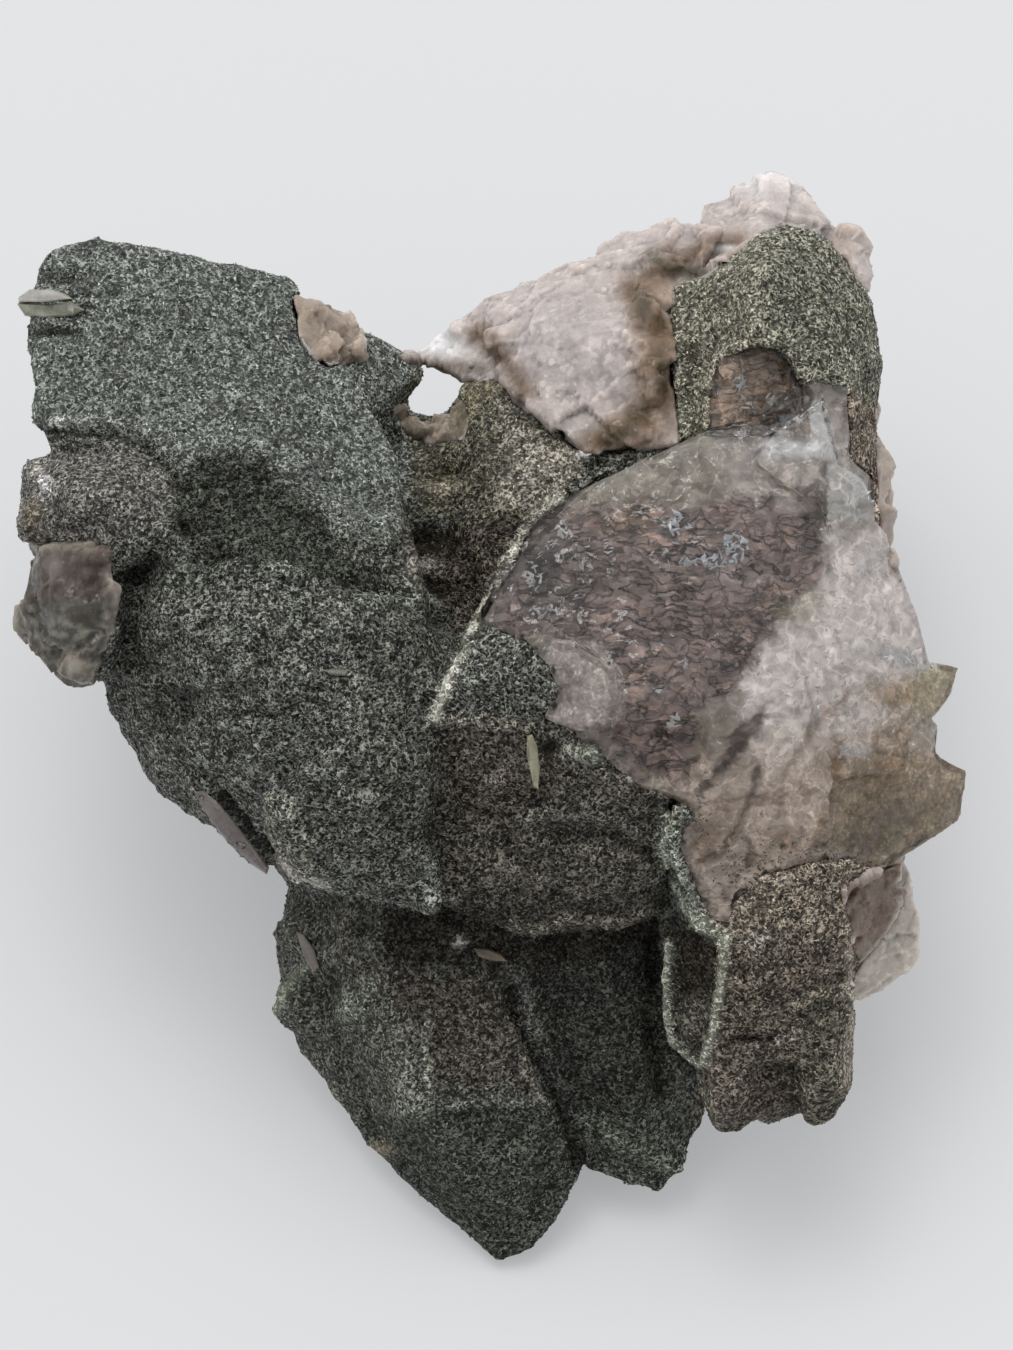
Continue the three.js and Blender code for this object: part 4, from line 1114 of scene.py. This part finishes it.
def clear_material():
    """Clear quartz with a little smoke in it."""
    nodes = Nodes("clear_quartz")
    bent = nodes.warped(1.5, 1.0)
    large = nodes.grains(1.3, nodes.vector("MULTIPLY", bent, (0.8, 1.3, 1.0)))
    small = nodes.grains(0.4, nodes.vector("MULTIPLY", bent, (0.7, 1.4, 1.0)))
    relief = nodes.bump(nodes.noise(0.3), 0.02)
    smoke = nodes.add("VolumeAbsorption")
    smoke.inputs["Color"].default_value = SMOKE
    smoke.inputs["Density"].default_value = 30
    nodes.link(smoke.outputs[0], nodes.output.inputs["Volume"])
    return nodes.finish(
        Base_Color=(1, 1, 1, 1), Normal=nodes.leaning(large, nodes.leaning(small, relief, 0.09), 0.16),
        Roughness=0.05, IOR=QUARTZ_IOR, Transmission_Weight=1.0,
    )


def floor_material():
    nodes = Nodes("pale_floor")
    tone = nodes.ramp(nodes.noise(240), (0.3, 0.98), (0.7, 1.0))
    return nodes.finish(
        Base_Color=nodes.vector("SCALE", tone, 0.42), Roughness=0.9,
        Emission_Color=(0.965, 0.975, 1.0, 1), Emission_Strength=0.33,
    )


# Colours from place to place
def plain_tint(points, colour):
    return np.tile(np.array(colour), (len(points), 1))


def crust_colours(points):
    """The crust's colour, with painted shade in hollows and under overhangs, the height of its forms, and
    how far it is coated with flakes.
    """
    wander = 0.9 * rough(points, 2.0, 51)
    tint = plain_tint(points, LEAF_GREEN)
    front = smooth(points[:, 2], 6, 11)
    for outline, colour in CRUST_ZONES:
        share = smooth(depth_inside(points, outline) + wander, -0.6, 0.6) * front
        tint = washed(tint, share, colour)
    height, with_marks, bare = marked(points, CRUST_MARKS, tint)
    tint = tint * (1 - front)[:, None] + with_marks * front[:, None]
    tint = tint * (1 + 0.2 * rough(points, 5, 31))[:, None]
    return tint, height * front, 1 - bare * front


def harshness(points):
    """How starkly the crust's threads stand out, from 0 to 1."""
    level = np.full(len(points), HARSH)
    for outline, value in SOFTER_ZONES:
        share = within(points, outline, 0.8, 0.8, 33)
        level = level * (1 - share) + value * share
    return level


def milky_colours(points):
    """White with a breath of lilac, rusty along the seams and dark where chlorite has seeped in. Its peak
    and top edge are painted lighter where light shines through, and the grooves by the stub carry painted
    shade.
    """
    tint = plain_tint(points, MILKY)
    clouds = smooth(rough(points, 3.0, 45), -0.1, 0.5)
    tint = washed(tint, clouds * 0.5, LILAC_GREY)
    behind = smooth(-points[:, 2], -12, -7)
    tint = washed(tint, behind * 0.5, GREYISH)
    for outline, colour in PATCH_TINTS:
        tint = washed(tint, within(points, outline, 0.3, 0.1), colour)
    height, tint, _ = marked(points, MILKY_STAINS_AND_PAINTED_LIGHT, tint)
    stub = within(points, grown(STUB, 0.5), 0.3, 0.1)
    dusted = 0.2 + 0.75 * smooth(-points[:, 1] + 0.8 * rough(points, 1.5, 49), -7.4, -6.4)
    grain = smooth(rough(points, 0.55, 48, 2), -0.15, 0.4)
    tint = washed(tint, stub * dusted * grain, STUB_DUST)
    neck = smooth(depth_inside(points, grown(NECK, 0.5)), -0.3, 0.3)
    spots = smooth(rough(points, 1.1, 47), 0.35, 0.7) * neck
    return washed(tint, spots * 0.6, DARK_OLIVE), height


def heart_colours(points):
    """Purple-brown in the middle, pale to the right, olive-brown at the lower right."""
    share = {name: within(points, *zone) for name, zone in HEART_ZONES.items()}
    downwards = -points[:, 1] + 0.15 * (points[:, 0] - 20) + 0.9 * rough(points, 3, 62)
    share["low"] = smooth(downwards, -0.6, 4)
    mossy = np.maximum(share["corner"], share["plate"])
    share["green"] = 0.5 * smooth(rough(points, 2.0, 63), 0.1, 0.5) * mossy
    tint = plain_tint(points, SMOKY_BROWN)
    for name, colour in HEART_TINTS:
        tint = washed(tint, share[name], colour)
    height, tint, _ = marked(points, HEART_MARKS, tint)
    fracture = 0.18 + 0.82 * share["dark"] + 0.6 * share["arch"] - 0.1 * share["lump"]
    speckle = 0.2 + 0.7 * share["corner"] + 0.5 * share["plate"] + 0.7 * share["lump"] + 0.3 * share["low"]
    return tint, np.clip(fracture, 0, 1), np.clip(speckle, 0, 1), height


# Pieces
def bare_crust(whole):
    """The cluster with openings where bare quartz shows."""
    crust = copy_of(whole, "crust")
    for outline, floor in BARE_PLACES.values():
        take_from(crust, uneven(outline), floor + OVERLAP)
    take_from(crust, uneven(BROKEN_FACE, CLEAN_BREAK), BROKEN_FLOOR)
    take_from(crust, uneven(ARCH, 0.1), ARCH_FLOOR)
    return crust


def build_crust(crust, name, size, material):
    """Gives one half of the chlorite coat its lumps, steps and colours, with painted shade in its hollows
    and painted light on its edges.
    """
    remesh(crust, size)
    crust.name = name
    soften(crust, 0.3 + 0.7 * within(on_face(crust), ROUNDED_BODY, 1.5, 0), 8)
    points = on_face(crust)
    outer = smooth(facing(crust), 0, 0.4)
    tint, height, coated = crust_colours(points)
    lumps = 0.34 * rough(points, 4.2, 1, 2) + 0.24 * rough(points, 1.6, 2, 2)
    grain = 0.13 * rough(points, 0.8, 3, 2)
    harsh = harshness(points)
    strength = 0.4 + 0.6 * harsh
    relief = lumps * strength + grain * strength * coated + height * outer
    raise_surface(crust, above_floor(crust, relief))
    # Painted shade and light: the colour is darkened in hollows and lightened on edges and bumps
    hollow_shade_and_edge_light = np.clip(1 + 1.6 * cavity(crust, 12), 0.55, 1.5)
    store(crust, "tint", tint * hollow_shade_and_edge_light[:, None])
    store(crust, "harsh", harsh)
    store(crust, "coat", coated)
    finish_piece(crust, material)


def flake_cover(middle, out, area):
    """The crust's colour at each of its faces, and how much of the flakes lies there."""
    points = to_face(middle)
    tint, _, coated = crust_colours(points)
    outward = out @ TO_ROW[:, 2]
    covered = (depth_inside(points, BROKEN_FACE) > 0.1) & (points[:, 2] < BROKEN_FLOOR + 1)
    seam = (abs(points[:, 2] - CRUST_SPLIT) < 0.6) & (abs(outward) > 0.8)
    resting = middle[:, 2] < 0.3 * MM
    shown = 0.25 + 0.75 * smooth(outward, -0.05, 0.2)
    return tint, np.where(covered | seam | resting, 0, area * coated * shown)


def splinters(foot, out, random):
    """Four-sided splinters on their feet, each leaning a little off the way out of the crust."""
    count = len(foot)
    up = unit(random.normal(size=(count, 3)) * 0.35 + out)
    along = unit(np.cross(up, random.normal(size=(count, 3))))
    aside = np.cross(up, along)
    long = MM * random.uniform(0.10, 0.26, (count, 1))
    wide = long * random.uniform(0.3, 0.55, (count, 1))
    tall = MM * random.uniform(0.04, 0.11, (count, 1))
    base = foot - out * 0.02 * MM
    tail = base - along * long * 0.8
    tip = base + up * tall - along * long * 0.2
    return np.stack([base + along * long, tail + aside * wide, tail - aside * wide, tip], 1).reshape(-1, 3)


def build_flakes(crust, name, count, seed, material):
    """Loose chlorite flakes lying on the crust."""
    random = np.random.default_rng(seed)
    corners = triangles(crust)
    a, b, c = (coords(crust)[corners[:, k]] for k in range(3))
    across = np.cross(b - a, c - a)
    area = np.linalg.norm(across, axis=1)
    out = across / np.maximum(area, 1e-15)[:, None]
    tint, weight = flake_cover((a + b + c) / 3, out, area)
    picked = random.choice(len(corners), count, p=weight / weight.sum())
    share = random.random((count, 2))
    flip = share.sum(1) > 1
    share[flip] = 1 - share[flip]
    foot = a[picked] + (b - a)[picked] * share[:, :1] + (c - a)[picked] * share[:, 1:]
    points = splinters(foot, out[picked], random)
    flakes = new_object(name, new_mesh(name, points, repeated(FLAKE_FACES, count, 4)))
    level = 0.5 + 3.2 * random.random(count) ** 2
    store(flakes, "tint", np.repeat(np.minimum(tint[picked] * level[:, None], 0.8), 4, axis=0))
    finish_piece(flakes, material, False)


def plane_under(outline, surface):
    """The slopes and the height of the plane nearest to the top of the surface at an outline."""
    high = surface[depth_inside(surface, grown(outline, 0.35)) > 0]
    high = high[high[:, 2] > high[:, 2].max() - BLADE_REACH]
    return np.linalg.lstsq(np.c_[high[:, :2], np.ones(len(high))], high[:, 2], rcond=None)[0]


def build_blades(crust, material):
    """Small flat blades of quartz that lie in the crust, with bevelled edges."""
    surface = on_face(crust)[facing(crust) > 0.35]
    points, faces, tints = [], [], []
    for outline, lift, colour in BLADES:
        plane = plane_under(outline, surface)
        start, count = len(points), len(outline)
        for by, drop in BLADE_RINGS:
            ring = np.array(grown(outline, by))
            level = ring @ plane[:2] + plane[2] + lift + drop + 0.15
            points += [tuple(p) for p in np.c_[ring, level]]
        for step in (0, count):
            for k in range(count):
                here, after = start + step + k, start + step + (k + 1) % count
                faces += [(here, after, after + count), (here, after + count, here + count)]
        top = start + 2 * count
        for k in range(1, count - 1):
            faces += [(top, top + k, top + k + 1), (start, start + k + 1, start + k)]
        tints += [colour] * (3 * count)
    blades = new_object("quartz_blades", new_mesh("quartz_blades", to_row(points), faces))
    edit(blades, lambda work: bmesh.ops.recalc_face_normals(work, faces=work.faces))
    points = np.array(points)
    store(blades, "tint", np.array(tints) * (1 + 0.5 * rough(points, 0.9, 91))[:, None])
    finish_piece(blades, material, False)


def build_bare(whole, name, material):
    """One piece of bare quartz, broken into gentle glassy facets."""
    outline, floor = BARE_PLACES[name]
    piece = part_of(whole, grown(uneven(outline), OVERLAP), floor, name)
    remesh(piece, BARE_GRID)
    soften(piece, 0.5, 5)
    points = on_face(piece)
    broad = facets(points, 4.6, 21, 0.22, 0.06) + facets(points, 1.7, 22, 0.2, 0.06)
    fine = 0.12 * rough(points, 1.2, 23) + 0.5 * facets(points, 0.7, 24, 0.25, 0.1)
    tint, height = milky_colours(points)
    raise_surface(piece, above_floor(piece, 0.55 * broad + 0.4 * fine + height))
    shade = np.clip(1 + cavity(piece, 10), 0.7, 1.15)
    store(piece, "tint", np.minimum(tint * shade[:, None], 0.9))
    finish_piece(piece, material)


def fracture_relief(points):
    """Ripples and sharp small steps across the broken face, in millimetres."""
    sway = 1.3 * rough(points, 3, 81)
    phase = (points[:, 1] + 0.25 * points[:, 0] + sway) / 0.8
    ripple = np.abs(phase - np.floor(phase) - 0.5) * 0.06
    dark = within(points, DARK_HEART, 1.0, 0.6, 64)
    steps = facets(points, 2.4, 82, 0.34, 0.10) + facets(points, 0.85, 83, 0.34, 0.14)
    return ripple * dark + 0.45 * steps * (1 - 0.35 * dark) + 0.12 * rough(points, 3.5, 84)


def build_clear(whole, name, outline, floor, material):
    """The clear skin of the broken crystal, with its thin sharp edges."""
    crystal = part_of(whole, grown(uneven(outline, CLEAN_BREAK), OVERLAP), floor - OVERLAP, name)
    remesh(crystal, CLEAR_GRID)
    points = on_face(crystal)
    thin = smooth(points[:, 0], 24.5, 27.5)
    outer = smooth(facing(crystal), 0.2, 0.7)
    raise_surface(crystal, fracture_relief(points) * (1 - 0.75 * thin) * outer - 0.04)
    finish_piece(crystal, material)


def build_heart(whole, name, outline, floor, material):
    """The clouded inside, under the clear skin and clear of the thin edges."""
    inner = copy_of(whole, name)
    for shift in HEART_SHIFTS:
        moved = copy_of(whole, "moved")
        move_to(moved, coords(moved) + TO_ROW @ np.array(shift) * MM)
        combine(inner, moved, "INTERSECT")
    combine(inner, prism(uneven(outline, CLEAN_BREAK), floor - 0.6), "INTERSECT")
    remesh(inner, HEART_GRID)
    points = on_face(inner)
    tint, fracture, speckle, height = heart_colours(points)
    raise_surface(inner, 0.7 * fracture_relief(points + 3.0) + height - 0.12)
    store(inner, "tint", tint)
    store(inner, "fracture", fracture)
    store(inner, "speckle", speckle)
    finish_piece(inner, material)
    return inner


def build_flecks(hearts, material):
    """Small bright flecks just over the clouded inside: fracture planes, some of them painted glints."""
    random = np.random.default_rng(FLECK_SEED)
    corners, tints = [], []
    surface = np.concatenate([on_face(heart) for heart in hearts])
    for middle, spread, count, colour, size in FLECK_GROUPS:
        for _ in range(count):
            x, y = np.array(middle) + random.normal(size=2) * np.array(spread) * 0.55
            near = np.hypot(surface[:, 0] - x, surface[:, 1] - y) < 0.6
            if not near.any():
                continue
            z = surface[near, 2].max() + random.uniform(-0.1, 0.2)
            turn = random.uniform(0, math.pi)
            along = np.array([math.cos(turn), math.sin(turn), random.normal() * 0.35])
            aside = np.array([-along[1], along[0], random.normal() * 0.35])
            long, wide = size * random.uniform(0.25, 0.75), size * random.uniform(0.1, 0.28)
            ring = [along * long * s + aside * wide * t for s, t in FLECK_CORNERS]
            corners += [np.array([x, y, z]) + p for p in ring] + [np.array([x, y, z + 0.05])]
            tints += [np.array(colour) * random.uniform(0.7, 1.0)] * 5
    faces = repeated(FLECK_FACES, len(corners) // 5, 5)
    flecks = new_object("fracture_and_glint_flecks", new_mesh("fracture_and_glint_flecks", to_row(corners), faces))
    store(flecks, "tint", np.array(tints))
    finish_piece(flecks, material, False)


def build_cluster():
    whole = whole_cluster()
    fill_gap(whole)
    coat, flake = crust_material(), flake_material()
    back = bare_crust(whole)
    front = copy_of(back, "front")
    everywhere = [(-FAR, -FAR), (FAR, -FAR), (FAR, FAR), (-FAR, FAR)]
    take_from(front, everywhere, DEEP, CRUST_SPLIT)
    take_from(back, everywhere, CRUST_SPLIT + OVERLAP)
    build_crust(front, "crust_front", FRONT_GRID, coat)
    build_crust(back, "crust_back", BACK_GRID, coat)
    build_flakes(front, "chlorite_flakes_front", FRONT_FLAKES, FRONT_SEED, flake)
    build_flakes(back, "chlorite_flakes_back", BACK_FLAKES, BACK_SEED, flake)
    milky = milky_material()
    build_blades(front, milky)
    for name in BARE_PLACES:
        build_bare(whole, name, milky)
    heart, clear = heart_material(), clear_material()
    hearts = [
        build_heart(whole, "smoky_heart", BROKEN_FACE, BROKEN_FLOOR, heart),
        build_heart(whole, "smoky_arch", ARCH, ARCH_FLOOR, heart),
    ]
    build_flecks(hearts, fleck_material())
    build_clear(whole, "clear_crystal", BROKEN_FACE, BROKEN_FLOOR, clear)
    build_clear(whole, "clear_arch", ARCH, ARCH_FLOOR, clear)
    discard(whole)


# Stage
def build_floor():
    """A pale round floor, wide enough for every view."""
    turns = [k * 2 * math.pi / FLOOR_SIDES for k in range(FLOOR_SIDES)]
    ring = [(FLOOR_RADIUS * math.cos(turn), FLOOR_RADIUS * math.sin(turn), 0) for turn in turns]
    mesh = bpy.data.meshes.new("floor")
    mesh.from_pydata(ring, [], [list(range(FLOOR_SIDES))])
    mesh.materials.append(floor_material())
    new_object("floor", mesh)


def build_lamp(name, energy, angle, shines):
    """A lamp above the show face. If it doesn't shine, it gives light but no highlights."""
    lamp = bpy.data.lights.new(name, "SUN")
    lamp.energy = energy
    lamp.angle = math.radians(angle)
    holder = new_object(name, lamp)
    holder.visible_glossy = shines
    holder.rotation_mode = "QUATERNION"
    holder.rotation_quaternion = Vector(TO_ROW @ np.array(LAMP_WAY)).to_track_quat("Z", "Y")


def build_light():
    """A bright room that is darker in front of the cluster, a broad soft lamp and a faint small one."""
    world = bpy.data.worlds.new("room")
    bpy.context.scene.world = world
    world.use_nodes = True
    nodes, links = world.node_tree.nodes, world.node_tree.links
    place = nodes.new("ShaderNodeTexCoord")
    axes = nodes.new("ShaderNodeSeparateXYZ")
    level = nodes.new("ShaderNodeMapRange")
    for name, value in ROOM_LEVELS.items():
        level.inputs[name].default_value = value
    background = nodes["Background"]
    background.inputs["Color"].default_value = ROOM_TINT
    links.new(place.outputs["Generated"], axes.inputs[0])
    links.new(axes.outputs["Y"], level.inputs["Value"])
    links.new(level.outputs[0], background.inputs["Strength"])
    for name, settings in LAMPS.items():
        build_lamp(name, *settings)


def build_camera():
    """Looks straight at the show face, from above the reclining cluster."""
    data = bpy.data.cameras.new("camera")
    data.sensor_width = SENSOR
    data.lens = SENSOR * CAMERA_DISTANCE / FRAME_HEIGHT
    data.clip_start = 0.1
    data.clip_end = 100
    holder = new_object("camera", data)
    place = Matrix(TO_ROW.tolist()).to_4x4()
    x, y, z = FRAME_MIDDLE
    place.translation = to_row([(x, y, z + CAMERA_DISTANCE)])[0]
    holder.matrix_world = place
    bpy.context.scene.camera = holder


build_cluster()
build_floor()
build_light()
build_camera()
bpy.context.scene.view_settings.view_transform = "Standard"
